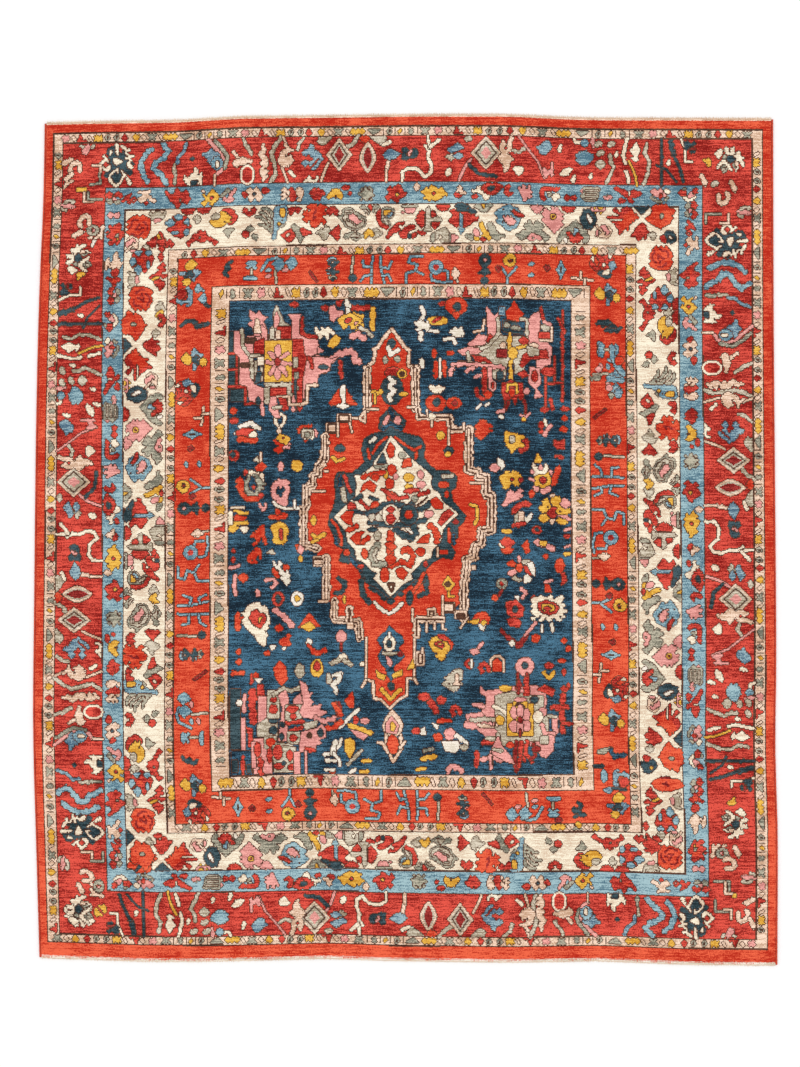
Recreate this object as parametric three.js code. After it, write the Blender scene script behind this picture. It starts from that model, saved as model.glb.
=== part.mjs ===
// A room-size hand-knotted wool rug lying flat: the knotted carpet, its two overcast side cords,
// and at each end a narrow flatwoven strip with short cut warp ends.
// Millimetres, +Z up, +Y towards the rug's head end, origin on the floor under its middle.
import * as THREE from "three";

const WIDTH = 2456; // widest place, over both side cords
const LENGTH = 2801; // longest place, pile edge to pile edge
const THICKNESS = 10; // foundation 3, pile 7
const EDGE_ROUNDING = 2.5; // how far the pile rolls over at the rim
const GAP = 0.3; // between neighbouring pieces

const CORD_DIAMETER = 6.5;
const CORD_SIDES = 8;
const CORD_STEPS = 24;

const END_PIECES = {
  head: { strip: 3, lock: 6.5 },
  foot: { strip: 2, lock: 5 },
};
const WARP_THICKNESS = 2.5;
const END_SPANS = 37; // straight stretches along an end
const LOCKS_PER_SPAN = 4;
const LOCK_SHARE = 0.62; // of the pitch, at the root
const LOCK_TIP_SHARE = 0.34;
const LOCK_UNEVENNESS = 0.3; // of the lock's length
// The cut line of the locks: share is a wave's height, turn is how far it moves on from lock to lock.
const CUT_WAVES = [
  { share: 0.6, turn: 2.4 },
  { share: 0.4, turn: 0.9 },
];

// The loom did not keep the rug square, so each side wanders inside the widest rectangle.
// at: distance along the side, from the left end or from the head end; inset: inwards from the rectangle.
const LEFT_SIDE = [
  { at: 0, inset: 39 },
  { at: 280, inset: 34 },
  { at: 578, inset: 21 },
  { at: 974, inset: 11 },
  { at: 1667, inset: 3 },
  { at: 1964, inset: 0 },
  { at: 2162, inset: 3 },
  { at: 2360, inset: 9 },
  { at: LENGTH, inset: 22 },
];
const RIGHT_SIDE = [
  { at: 0, inset: 15 },
  { at: 677, inset: 13 },
  { at: 1172, inset: 9 },
  { at: 1667, inset: 5 },
  { at: 1865, inset: 5 },
  { at: 2063, inset: 8 },
  { at: 2261, inset: 3 },
  { at: 2360, inset: 0 },
  { at: LENGTH, inset: 1 },
];
const HEAD_SIDE = [
  { at: 0, inset: 29 },
  { at: 182, inset: 24 },
  { at: 479, inset: 20 },
  { at: 677, inset: 7 },
  { at: 974, inset: 4 },
  { at: 1270, inset: 0 },
  { at: 1568, inset: 0 },
  { at: 1766, inset: 10 },
  { at: 1865, inset: 12 },
  { at: WIDTH, inset: 14 },
];
const FOOT_SIDE = [
  { at: 0, inset: 26 },
  { at: 182, inset: 20 },
  { at: 380, inset: 13 },
  { at: 578, inset: 13 },
  { at: 974, inset: 23 },
  { at: 1172, inset: 16 },
  { at: 1568, inset: 10 },
  { at: 1865, inset: 15 },
  { at: 2162, inset: 3 },
  { at: WIDTH, inset: 0 },
];

const materials = {
  pile: new THREE.MeshStandardMaterial({ color: 0xc93a27, roughness: 0.95, metalness: 0 }),
  cord: new THREE.MeshStandardMaterial({ color: 0xb9352a, roughness: 0.9, metalness: 0 }),
  warp: new THREE.MeshStandardMaterial({ color: 0xf2dcc4, roughness: 0.9, metalness: 0 }),
};

// The inset of a side at a place along it, straight between its rows.
function insetAt(side, along) {
  const next = Math.max(
    1,
    side.findIndex((row) => row.at >= along),
  );
  const from = side[next - 1];
  const to = side[next];
  const share = (along - from.at) / (to.at - from.at);
  return THREE.MathUtils.lerp(from.inset, to.inset, THREE.MathUtils.clamp(share, 0, 1));
}

// Where each side's outer line runs, as a coordinate across that side.
const sideLine = {
  left: (y) => -WIDTH / 2 + insetAt(LEFT_SIDE, LENGTH / 2 - y),
  right: (y) => WIDTH / 2 - insetAt(RIGHT_SIDE, LENGTH / 2 - y),
  head: (x) => LENGTH / 2 - insetAt(HEAD_SIDE, x + WIDTH / 2),
  foot: (x) => -LENGTH / 2 + insetAt(FOOT_SIDE, x + WIDTH / 2),
};

// The middle of the cord along one long side, as a smooth line from the head end to the foot end.
function cordLine(side, table) {
  const inwards = side === "left" ? CORD_DIAMETER / 2 : -CORD_DIAMETER / 2;
  const first = endOfSide(side, "head");
  const last = endOfSide(side, "foot");
  const middle = table
    .map((row) => LENGTH / 2 - row.at)
    .filter((y) => y < first - CORD_DIAMETER && y > last + CORD_DIAMETER);
  const points = [first, ...middle, last].map(
    (y) => new THREE.Vector3(sideLine[side](y) + inwards, y, CORD_DIAMETER / 2),
  );
  return new THREE.CatmullRomCurve3(points, false, "centripetal");
}

// Where an end's line crosses a long side's line: both lines are nearly straight, so two looks settle it.
function endOfSide(side, end) {
  const near = end === "head" ? LENGTH / 2 : -LENGTH / 2;
  const closer = sideLine[end](sideLine[side](near));
  return sideLine[end](sideLine[side](closer));
}

const cordLines = {
  left: cordLine("left", LEFT_SIDE),
  right: cordLine("right", RIGHT_SIDE),
};

// The carpet's rim along one long side: beside the cord, step for step, a gap away from it.
function sideRim(side) {
  const inwards = CORD_DIAMETER / 2 + GAP;
  return cordLines[side]
    .getSpacedPoints(CORD_STEPS)
    .map((point) => new THREE.Vector2(point.x + (side === "left" ? inwards : -inwards), point.y));
}

const rims = { left: sideRim("left"), right: sideRim("right") };

// The carpet's rim along one end, from the left side's corner to the right side's.
function endRim(end) {
  const index = end === "head" ? 0 : CORD_STEPS;
  const first = rims.left[index];
  const last = rims.right[index];
  const middle = Array.from({ length: END_SPANS - 1 }, (_, i) => {
    const x = THREE.MathUtils.lerp(first.x, last.x, (i + 1) / END_SPANS);
    return new THREE.Vector2(x, sideLine[end](x));
  });
  return [first, ...middle, last];
}

rims.head = endRim("head");
rims.foot = endRim("foot");

function addPiece(group, name, geometry, material) {
  const mesh = new THREE.Mesh(geometry, material);
  mesh.name = name;
  group.add(mesh);
  return mesh;
}

// The knotted panel: one slab with the rug's own wandering outline and a rounded rim.
function carpetGeometry() {
  const outline = [
    ...rims.foot,
    ...rims.right.slice(1, -1).reverse(),
    ...rims.head.slice().reverse(),
    ...rims.left.slice(1, -1),
  ];
  const slab = new THREE.ExtrudeGeometry(new THREE.Shape(outline), {
    depth: THICKNESS - 2 * EDGE_ROUNDING,
    bevelEnabled: true,
    bevelThickness: EDGE_ROUNDING,
    bevelSize: EDGE_ROUNDING,
    bevelOffset: -EDGE_ROUNDING,
    bevelSegments: 2,
  });
  return slab.translate(0, 0, EDGE_ROUNDING);
}

// A cord of wrapped wool along one long side, with a flat of its section towards the carpet.
function cordGeometry(line) {
  const reach = CORD_DIAMETER / 2 / Math.cos(Math.PI / CORD_SIDES);
  const section = new THREE.Shape(
    Array.from({ length: CORD_SIDES }, (_, i) => {
      const angle = ((i + 0.5) / CORD_SIDES) * 2 * Math.PI;
      return new THREE.Vector2(reach * Math.cos(angle), reach * Math.sin(angle));
    }),
  );
  return new THREE.ExtrudeGeometry(section, { steps: CORD_STEPS, extrudePath: line });
}

// How long a lock is, as a share of its full length: two slow waves make the cut uneven.
function lockShare(index) {
  const wave = CUT_WAVES.reduce((sum, { share, turn }) => sum + share * Math.sin(index * turn), 0);
  return 1 - LOCK_UNEVENNESS * (0.5 + wave / 2);
}

// A flat solid on the floor whose plan is made of convex faces; rim is the plan's whole outline.
function flatSolid(faces, rim, thickness) {
  const positions = [];
  const add = (corners) => corners.forEach(([point, z]) => positions.push(point.x, point.y, z));
  for (const face of faces) {
    for (let i = 1; i < face.length - 1; i += 1) {
      const [a, b, c] = [face[0], face[i], face[i + 1]];
      add([[a, thickness], [b, thickness], [c, thickness]]);
      add([[a, 0], [c, 0], [b, 0]]);
    }
  }
  rim.forEach((from, i) => {
    const to = rim[(i + 1) % rim.length];
    add([[from, 0], [to, 0], [to, thickness]]);
    add([[from, 0], [to, thickness], [from, thickness]]);
  });
  const geometry = new THREE.BufferGeometry();
  geometry.setAttribute("position", new THREE.Float32BufferAttribute(positions, 3));
  geometry.computeVertexNormals();
  return geometry;
}

// The strip and its locks as one comb, cut flat: the strip is the backing that the locks grow from.
function endGeometry(rim, outwards, { strip, lock }) {
  const inner = rim.map((point) => new THREE.Vector2(point.x, point.y + outwards * GAP));
  const edge = rim.map((point) => new THREE.Vector2(point.x, point.y + outwards * (GAP + strip)));
  const faces = [];
  const outer = [];
  edge.slice(1).forEach((to, span) => {
    const from = edge[span];
    const pitch = (to.x - from.x) / LOCKS_PER_SPAN;
    const roots = [];
    for (let i = 0; i < LOCKS_PER_SPAN; i += 1) {
      const middle = from.clone().lerp(to, (i + 0.5) / LOCKS_PER_SPAN);
      const length = outwards * lock * lockShare(span * LOCKS_PER_SPAN + i);
      const across = (share, along) =>
        new THREE.Vector2(middle.x + share * pitch, middle.y + along);
      const leftRoot = across(-LOCK_SHARE / 2, 0);
      const rightRoot = across(LOCK_SHARE / 2, 0);
      const leftTip = across(-LOCK_TIP_SHARE / 2, length);
      const rightTip = across(LOCK_TIP_SHARE / 2, length);
      faces.push([leftRoot, rightRoot, rightTip, leftTip]);
      roots.push(leftRoot, rightRoot);
      outer.push(leftRoot, leftTip, rightTip, rightRoot);
    }
    faces.push([inner[span], inner[span + 1], to, ...roots.reverse(), from]);
    outer.push(to);
  });
  const outline = [...inner, ...[edge[0], ...outer].reverse()];
  if (outwards < 0) {
    faces.forEach((face) => face.reverse());
    outline.reverse();
  }
  return flatSolid(faces, outline, WARP_THICKNESS);
}

const rug = new THREE.Group();
addPiece(rug, "carpet", carpetGeometry(), materials.pile);
addPiece(rug, "side_cord_left", cordGeometry(cordLines.left), materials.cord);
addPiece(rug, "side_cord_right", cordGeometry(cordLines.right), materials.cord);
addPiece(rug, "end_fringe_head", endGeometry(rims.head, 1, END_PIECES.head), materials.warp);
addPiece(rug, "end_fringe_foot", endGeometry(rims.foot, -1, END_PIECES.foot), materials.warp);

// The origin is on the floor, under the middle of the whole rug with its fringes.
const reach = new THREE.Box3().setFromObject(rug);
const middle = reach.getCenter(new THREE.Vector3());
rug.position.set(-middle.x, -middle.y, -reach.min.z);

export default rug;
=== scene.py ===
"""A room-size hand-knotted kazak rug lying flat: knotted pattern, overcast side cords, short cut fringes.

The pattern is drawn knot by knot on a chart, as a weaver's is. One knot is 3.3 mm. On the chart u counts
knots from the left edge and v from the head end. Metres elsewhere, +Z up, +Y towards the head end.
"""
import math

import bmesh
import bpy
import numpy as np
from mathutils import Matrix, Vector


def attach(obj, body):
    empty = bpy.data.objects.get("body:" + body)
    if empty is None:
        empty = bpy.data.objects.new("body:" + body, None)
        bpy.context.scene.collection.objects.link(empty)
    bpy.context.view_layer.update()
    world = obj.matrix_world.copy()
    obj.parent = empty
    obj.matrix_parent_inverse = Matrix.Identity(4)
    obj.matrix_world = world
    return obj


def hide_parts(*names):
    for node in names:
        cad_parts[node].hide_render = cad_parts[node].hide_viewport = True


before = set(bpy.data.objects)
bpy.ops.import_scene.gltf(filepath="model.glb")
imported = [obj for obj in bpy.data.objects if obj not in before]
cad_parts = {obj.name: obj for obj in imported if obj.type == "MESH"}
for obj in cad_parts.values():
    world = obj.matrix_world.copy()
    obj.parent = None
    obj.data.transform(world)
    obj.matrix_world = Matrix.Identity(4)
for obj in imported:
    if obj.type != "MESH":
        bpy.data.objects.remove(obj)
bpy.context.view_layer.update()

CHART_WIDE = 738
CHART_LONG = 840
FIRST_COLUMN = 1  # the side cords cover the outermost knots
# One face of the pile's mesh is a block of knots, and each row of a block has a letter.
BLOCK_WIDE = 5
BLOCK_ROWS = "abcd"
BLOCK_LONG = len(BLOCK_ROWS)
BLOCKS_WIDE = CHART_WIDE // BLOCK_WIDE
BLOCKS_LONG = CHART_LONG // BLOCK_LONG
MILLIMETRE = 0.001


def table(text):
    """Rows of a text table whose first line names its columns; what reads as a number becomes one."""
    names, *rows = [line.split() for line in text.strip().split("\n")]
    return [{name: number(word) for name, word in zip(names, row)} for row in rows]


def number(word):
    """The word as a number, where it is one."""
    try:
        return float(word)
    except ValueError:
        return word


# Yarn colours as they look in daylight, darkest and lightest dye lot of each.
YARNS = table("""
letter yarn       dark   light
k      outline    3e241a 6a4634
o      orange_red b8240e f06644
r      crimson    85100a e85646
b      sky        4b6f81 a4c2c8
c      ivory      dabfa4 fdf3da
p      peach      c49c7e fddfc7
f      field      0a1e2c 4c7892
g      sage       6a685a c2baa4
y      gold       c88a26 f4c256
s      rose
n      ink        19292e 495f66
w      white      d3c6b0 fbf0e2
m      maroon
u      mid_blue   46647a a1bcc3
a      ash        94846c ded2bd
t      tan
""")
LETTERS = [row["letter"] for row in YARNS]
# Rose, maroon and tan are given by their middle lot, and by how far red, green and blue light stray from it.
MIDDLE_LOTS = table("""
letter red green blue red_strays green_strays blue_strays
s      229 155   146  0.25       0.35         0.35
m      150 45    40   0.5        0.85         0.85
t      176 112   61   0.35       0.4          0.5
""")
STUDIO_GAIN = 1.03  # how much lighter the studio light shows the wool


def light_of(shade):
    """The light in a shade from 0 to 1, by the sRGB curve."""
    return shade / 12.92 if shade <= 0.04045 else ((shade + 0.055) / 1.055) ** 2.4


def shade_of(light):
    """The shade from 0 to 1 that shows a light, by the sRGB curve."""
    return 12.92 * light if light <= 0.0031308 else 1.055 * light ** (1 / 2.4) - 0.055


def strayed(lot, way):
    """The hex colour of a yarn's darkest lot (way -1) or lightest one (way 1)."""
    channels = []
    for colour in ("red", "green", "blue"):
        light = light_of(lot[colour] / 255) / STUDIO_GAIN * (1 + way * lot[f"{colour}_strays"])
        channels.append(round(shade_of(light) * 255))
    return bytes(channels).hex()


for lot in MIDDLE_LOTS:
    YARNS[LETTERS.index(lot["letter"])].update(dark=strayed(lot, -1), light=strayed(lot, 1))
BLANK = -1
OUTLINE = LETTERS.index("k")
MELTING = ["orm", "bu", "cw", "nf"]  # yarns so alike that no dark line is knotted between them
FAMILY = np.array([next((i for i, alike in enumerate(MELTING) if letter in alike), len(MELTING) + n)
                   for n, letter in enumerate(LETTERS)])


# The chart


def doubled(motif):
    """The motif with each cell made four knots, the corners of its steps cut to half steps."""
    fine = motif.repeat(2, 0).repeat(2, 1)
    ringed = np.pad(motif, 1, constant_values=BLANK)
    up, down = ringed[:-2, 1:-1], ringed[2:, 1:-1]
    left, right = ringed[1:-1, :-2], ringed[1:-1, 2:]
    for row, near_row, far_row in ((0, up, down), (1, down, up)):
        for column, near_side, far_side in ((0, left, right), (1, right, left)):
            cut = (near_row == near_side) & (near_row != far_side) & (near_side != far_row)
            fine[row::2, column::2] = np.where(cut, near_row, motif)
    return fine


def charted(text, fine=False):
    """Motifs by name from rows of letters, where a dot, or nothing at a row's end, shows the ground.

    A cell is 2 by 2 knots, or one knot if fine.
    """
    motifs = {}
    for block in text.strip().split("\n\n"):
        name, *rows = block.split("\n")
        wide = max(map(len, rows))
        cells = [[LETTERS.index(c) if c != "." else BLANK for c in row.ljust(wide, ".")] for row in rows]
        motifs[name] = np.array(cells) if fine else roughened(doubled(np.array(cells)))
    return motifs


def spread(mask):
    """The mask grown by one knot up, down, left and right."""
    grown = mask.copy()
    grown[1:] |= mask[:-1]
    grown[:-1] |= mask[1:]
    grown[:, 1:] |= mask[:, :-1]
    grown[:, :-1] |= mask[:, 1:]
    return grown


def lined(motif):
    """The motif with one dark knot wherever two of its colours meet."""
    result = motif.copy()
    for here, there, target in (
        (motif[:, 1:], motif[:, :-1], result[:, 1:]),
        (motif[1:], motif[:-1], result[1:]),
    ):
        meets = (here != BLANK) & (there != BLANK) & (here != OUTLINE) & (there != OUTLINE)
        meets &= FAMILY[here] != FAMILY[there]
        target[meets] = OUTLINE
    return result


ROUGH_SHARE = 0.07


def roughened(motif, share=ROUGH_SHARE):
    """The motif with some knots of its edge left out and some added beside it, as a free hand knots it."""
    chance = np.random.default_rng(motif.size).random((motif.shape[0] + 2, motif.shape[1] + 2))
    ringed = np.pad(motif, 1, constant_values=BLANK)
    drawn = ringed != BLANK
    bare = spread(~drawn)
    result = np.where(bare & drawn & spread(~bare) & (chance < share), BLANK, ringed)
    for shift, axis in ((1, 0), (-1, 0), (1, 1), (-1, 1)):
        beside = np.roll(ringed, shift, axis)
        beyond = np.roll(ringed, -shift, axis) == BLANK
        grows = ~drawn & beyond & (beside != BLANK) & (beside != OUTLINE) & (chance > 1 - share)
        result = np.where(grows, beside, result)
    return result


cloth = np.full((CHART_LONG, CHART_WIDE), LETTERS.index("o"))
knot_v, knot_u = np.mgrid[0:CHART_LONG, 0:CHART_WIDE] + 0.5
# A free-hand knotted edge steps in and out a little; each step is three knots wide.
RAGGED = 0.9
RAGGED_STEP = 3
steps = (CHART_LONG // RAGGED_STEP, CHART_WIDE // RAGGED_STEP)
ragged = np.random.default_rng(5).uniform(-RAGGED, RAGGED, steps)
ragged = ragged.repeat(RAGGED_STEP, 0).repeat(RAGGED_STEP, 1)


def knot_in(motif, u, v, turn=0):
    """Knots a motif into the cloth, its middle at (u, v), turned by quarter turns clockwise."""
    motif = np.rot90(lined(motif), -turn)
    long, wide = motif.shape
    top, left = round(v - long / 2), round(u - wide / 2)
    ringed = np.pad(motif, 1, constant_values=BLANK)
    drawn = ringed != BLANK
    rows = np.arange(top - 1, top + long + 1)
    columns = np.arange(left - 1, left + wide + 1)
    on_cloth = ((rows >= 0) & (rows < CHART_LONG))[:, None] & ((columns >= 0) & (columns < CHART_WIDE))
    area = np.ix_(rows.clip(0, CHART_LONG - 1), columns.clip(0, CHART_WIDE - 1))
    edged = spread(drawn & (ringed != OUTLINE)) & ~drawn & on_cloth
    cloth[area] = np.where(drawn & on_cloth, ringed, np.where(edged, OUTLINE, cloth[area]))


def colour_in(mask, letter, edged=True):
    """Colours the masked knots of the whole cloth, with a dark line around them."""
    if edged:
        cloth[spread(mask) & ~mask] = OUTLINE
    cloth[mask] = LETTERS.index(letter)


def window(points, reach=0.0):
    """The part of the cloth around some points."""
    us, vs = zip(*points)
    return np.s_[max(0, int(min(vs) - reach) - 1):int(max(vs) + reach) + 2,
                 max(0, int(min(us) - reach) - 1):int(max(us) + reach) + 2]


def near_line(points, width):
    """Knots within half the width of a line through the points."""
    mask = np.zeros(cloth.shape, bool)
    part = window(points, width)
    u, v = knot_u[part], knot_v[part]
    roughly = ragged[part] * min(1, max(0, width - 2) / 2)
    for (u0, v0), (u1, v1) in zip(points, points[1:]):
        du, dv = u1 - u0, v1 - v0
        share = (((u - u0) * du + (v - v0) * dv) / max(du * du + dv * dv, 1e-6)).clip(0, 1)
        mask[part] |= np.hypot(u - u0 - share * du, v - v0 - share * dv) <= width / 2 + roughly
    return mask


def inside(points):
    """Knots inside a closed outline."""
    mask = np.zeros(cloth.shape, bool)
    part = window(points)
    u, v = knot_u[part], knot_v[part]
    for (u0, v0), (u1, v1) in zip(points, points[1:] + points[:1]):
        if v0 != v1:
            crossing = u0 + (v - v0) / (v1 - v0) * (u1 - u0)
            mask[part] ^= ((v0 > v) != (v1 > v)) & (u < crossing)
    return mask


def oval(u, v, wide, long):
    """Knots inside an oval of that width and length around (u, v)."""
    mask = np.zeros(cloth.shape, bool)
    part = window([(u, v)], max(wide, long))
    away = np.hypot((knot_u[part] - u) / wide, (knot_v[part] - v) / long)
    mask[part] = away <= 0.5 + ragged[part] / (wide + long)
    return mask


# The bands of the border

# Where each line between two bands runs: knots in from the edge, near the start, middle and end of each side.
# Top and bottom are read at u, left and right at v.
LINES = table("""
line   top_a top_b top_c right_a right_b right_c bottom_a bottom_b bottom_c left_a left_b left_c ground
guard1 10    10    10    10.5    10.5    9.5     15.5     14       15       8      9      7.5    p
red    20    19.5  19    21      21      21      24       23.5     24.5     17.5   20     19.5   r
sky    65.5  65.5  65.5  71.5    70.5    68.5    69       66.5     66.5     61.5   66     68.5   b
ivory  88    87.5  87    95.5    94      92      90.5     89       89       82     87.5   88.5   c
guard2 129   127.5 124   139     137     135     128      127.5    128.5    127    129    130    p
orange 138   137   134.5 148.5   147.5   145.5   136.5    136.5    136.5    137    138    138    o
guard3 168   167.5 166   184.5   184     181     168.5    169.5    169      172    173.5  175.5  p
field  182.5 182   181   204     203     200.5   182      184      186.5    190    191.5  194    f
""")
ALONG_ENDS = (60, 370, 680)
ALONG_SIDES = (110, 420, 700)
ALONG_STATIONS = {"top": ALONG_ENDS, "right": ALONG_SIDES, "bottom": ALONG_ENDS, "left": ALONG_SIDES}
TURNS = {"top": 0, "right": 1, "bottom": 2, "left": 3}
BAND_NAMES = [row["line"] for row in LINES]
LINE_HALF = 0.6  # half the width of the dark line between two bands


def depth_of_line(line, side, at):
    """How far in from the rug's edge a line runs, at a place along a side."""
    row = LINES[BAND_NAMES.index(line)]
    return np.interp(at, ALONG_STATIONS[side], [row[f"{side}_{part}"] for part in "abc"])


def inner_depth(line):
    """For every knot, how far inside the line it is on the side where it is nearest."""
    return np.minimum.reduce([
        knot_v - depth_of_line(line, "top", knot_u),
        CHART_WIDE - knot_u - depth_of_line(line, "right", knot_v),
        CHART_LONG - knot_v - depth_of_line(line, "bottom", knot_u),
        knot_u - depth_of_line(line, "left", knot_v),
    ])


for row in LINES:
    depth = inner_depth(row["line"])
    cloth[depth >= -LINE_HALF] = OUTLINE
    cloth[depth >= LINE_HALF] = LETTERS.index(row["ground"])

# The same sequence runs clockwise around every side. Each row is one place in it: u on the top side and
# bottom side, v on the right side and left side.
STATIONS = {
    "guard1": table("""
top  right bottom left
20   8     713    827
203  195   507    640
399  383   305    453
617  574   112    262
815  762   -86    76
1013 950   -284   -112
"""),
    "red": table("""
top right bottom left
40  88    690    745
72  120   657    713
113 156   620    680
149 192   578    646
168 208   552    622
205 247   520    592
221 263   502    578
245 280   487    552
272 312   452    527
297 338   422    501
328 367   388    473
352 390   358    450
370 408   338    432
388 428   320    414
418 453   297    387
447 477   275    361
468 495   257    341
506 533   220    306
547 570   180    274
563 581   165    259
598 613   131    226
625 638   104    202
655 663   72     166
694 700   40     137
738 745   -4     95
"""),
    "sky": table("""
top right bottom left
40  70    692    770
70  90    662    740
90  113   637    721
135 155   584    683
168 185   545    653
186 202   527    635
214 230   497    609
250 267   460    572
276 295   434    547
294 312   413    528
326 340   380    498
356 370   345    470
395 403   312    437
421 428   290    414
452 457   265    385
470 475   250    367
487 490   233    350
512 512   210    328
533 533   190    310
552 552   175    292
571 565   157    278
592 582   138    258
624 613   105    226
655 640   80     197
690 672   45     165
"""),
    "ivory": table("""
top right bottom left
60  102   667    736
96  138   631    700
136 178   592    663
185 213   546    625
230 262   487    575
275 308   448    535
312 347   405    497
347 380   368    458
390 415   325    425
425 453   295    392
472 495   254    345
516 535   212    308
551 570   174    273
586 598   143    243
624 635   104    204
650 660   80     178
"""),
    "guard2": table("""
top right bottom left
88  114   633    787
285 311   438    590
481 508   243    393
677 705   48     196
875 902   -147   0
"""),
    "orange": table("""
top right bottom left
150 170   588    690
188 207   540    640
230 248   496    600
275 294   450    555
295 322   424    533
314 337   400    515
338 362   375    489
390 410   322    440
418 437   297    413
447 464   273    388
472 485   251    366
494 507   232    344
524 535   201    314
546 553   186    296
566 572   165    278
"""),
    "guard3": table("""
top right bottom left
20  33    700    800
223 227   505    613
413 421   299    426
602 610   110    230
794 803   -85    34
"""),
}


def spot(side, band, along, across):
    """Where a place in a band's sequence, given as on the top side, comes on a side of the rug: (u, v)."""
    stations = STATIONS[band]
    at = along
    if side != "top":
        at = np.interp(along, [row["top"] for row in stations], [row[side] for row in stations])
    next_band = BAND_NAMES[BAND_NAMES.index(band) + 1]
    middle = ALONG_STATIONS["top"][1]
    outer, inner = (depth_of_line(line, "top", middle) for line in (band, next_band))
    share = (across - outer) / (inner - outer)
    depth = (1 - share) * depth_of_line(band, side, at) + share * depth_of_line(next_band, side, at)
    return {
        "top": (at, depth),
        "right": (CHART_WIDE - depth, at),
        "bottom": (at, CHART_LONG - depth),
        "left": (depth, at),
    }[side]


def run_band(band, motifs, sequence):
    """Knots a band's sequence of motifs along the sides."""
    for side in TURNS:
        for row in sequence:
            u, v = spot(side, band, row["along"], row["across"])
            knot_in(motifs[row["motif"]], u, v, TURNS[side])


def draw_band(band, lines):
    """Draws a band's stems, ribbons and bars along the sides: letter, width, then points as along,across."""
    for side in TURNS:
        for line in lines.strip().split("\n"):
            letter, width, *pairs = line.split()
            points = [spot(side, band, *map(float, pair.split(","))) for pair in pairs]
            colour_in(near_line(points, float(width)), letter)


# Guard stripes: one row of small motifs, repeated four times or so around each side

GUARD = charted("""
leaf
..ss..s..
.sssssss
sssssss
.sssssss
..ssssss
.ssss.s
..ss

tee
..rr
..rr
..rrr
.rrrr
.rrrr
rrrrrr.rr
rrrrrrrrrr

jag
..y....y
y.yyy.yy
yyyyyyyy
.yyyyyyyy
.yyyyyyy
yyyyyyyyy
y..yyy.y

hook
..ggg
.g
gg..g
gg..g
.g.gg
.ggg

drop
..rr
.rrrr
.rrrr
rrrrrr
rrrrrr
.rrrr
..rr

bud
..yy..y
.yyyyy
yyyyyyy
.yyyyyy
.yyyyy
..yyyy
...yy

glass
ggg.gg.ggg
.gggggggg
..gggggg
...gggg
..gggggg
.ggg..gg

fan
..yy...yy..yy
.yyyy.yyyyyyyy
yyyyyyyyyyyyyyy
.yyyyyyyyyyyyyy
yyyyyyyyyyyyyy
..yy.yyyy..yy

wedge
ggggggggggggg
.ggggggggggg
..ggggggggg
...gggggg
....ggg

post
k
k
k
k
k
k
k

seed
..yy
.yyy
yyyy
.yy
.y

stalk
.gg
ggggg
.ggg
.gggg
ggggg
.ggg

chip
.pp
pppp
.pppp
.pppp
..pp

splinter
pp
ppp
.pp
.ppp
..pp
""", fine=True)
GUARD_ROW = table("""
motif    offset
leaf     0
chip     9
tee      18
splinter 27
jag      36
hook     46
hook     56
drop     65
bud      77
chip     86
glass    95
splinter 105
fan      115
wedge    132
post     141
hook     147
post     153
seed     158
post     163
stalk    169
post     176
glass    184
""")
GUARD_REPEAT = 198
GUARD_CLEARANCE = 6  # knots between a guard's first or last motif and the corner
# How far in each guard's middle lies, and how much longer its motifs are than charted.
GUARDS = table("""
band   middle share
guard1 15     1
guard2 133    1
guard3 175    1.5
""")


def enlarged(motif, share):
    """The motif knotted this much longer across its band."""
    long = motif.shape[0]
    rows = (np.arange(round(long * share)) / share).astype(int).clip(0, long - 1)
    return motif[rows]


def run_guard(band, middle, share):
    """One guard stripe on every side: the row starts at each of the band's stations."""
    inner = BAND_NAMES[BAND_NAMES.index(band) + 1]
    stations = STATIONS[band]
    for side in TURNS:
        lengthwise = side in ("top", "bottom")
        far = CHART_WIDE if lengthwise else CHART_LONG
        ends = ("left", "right") if lengthwise else ("top", "bottom")
        line = band if lengthwise else inner
        start, stop = (depth_of_line(line, end, CHART_LONG / 2) + GUARD_CLEARANCE for end in ends)
        for station, following in zip(stations, stations[1:]):
            for row in GUARD_ROW:
                along = station["top"] + row["offset"] / GUARD_REPEAT * (following["top"] - station["top"])
                u, v = spot(side, band, along, middle)
                if start < (u if lengthwise else v) < far - stop:
                    knot_in(enlarged(GUARD[row["motif"]], share), u, v, TURNS[side])


# Ivory border: large flowers with half flowers and leaves between them

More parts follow.
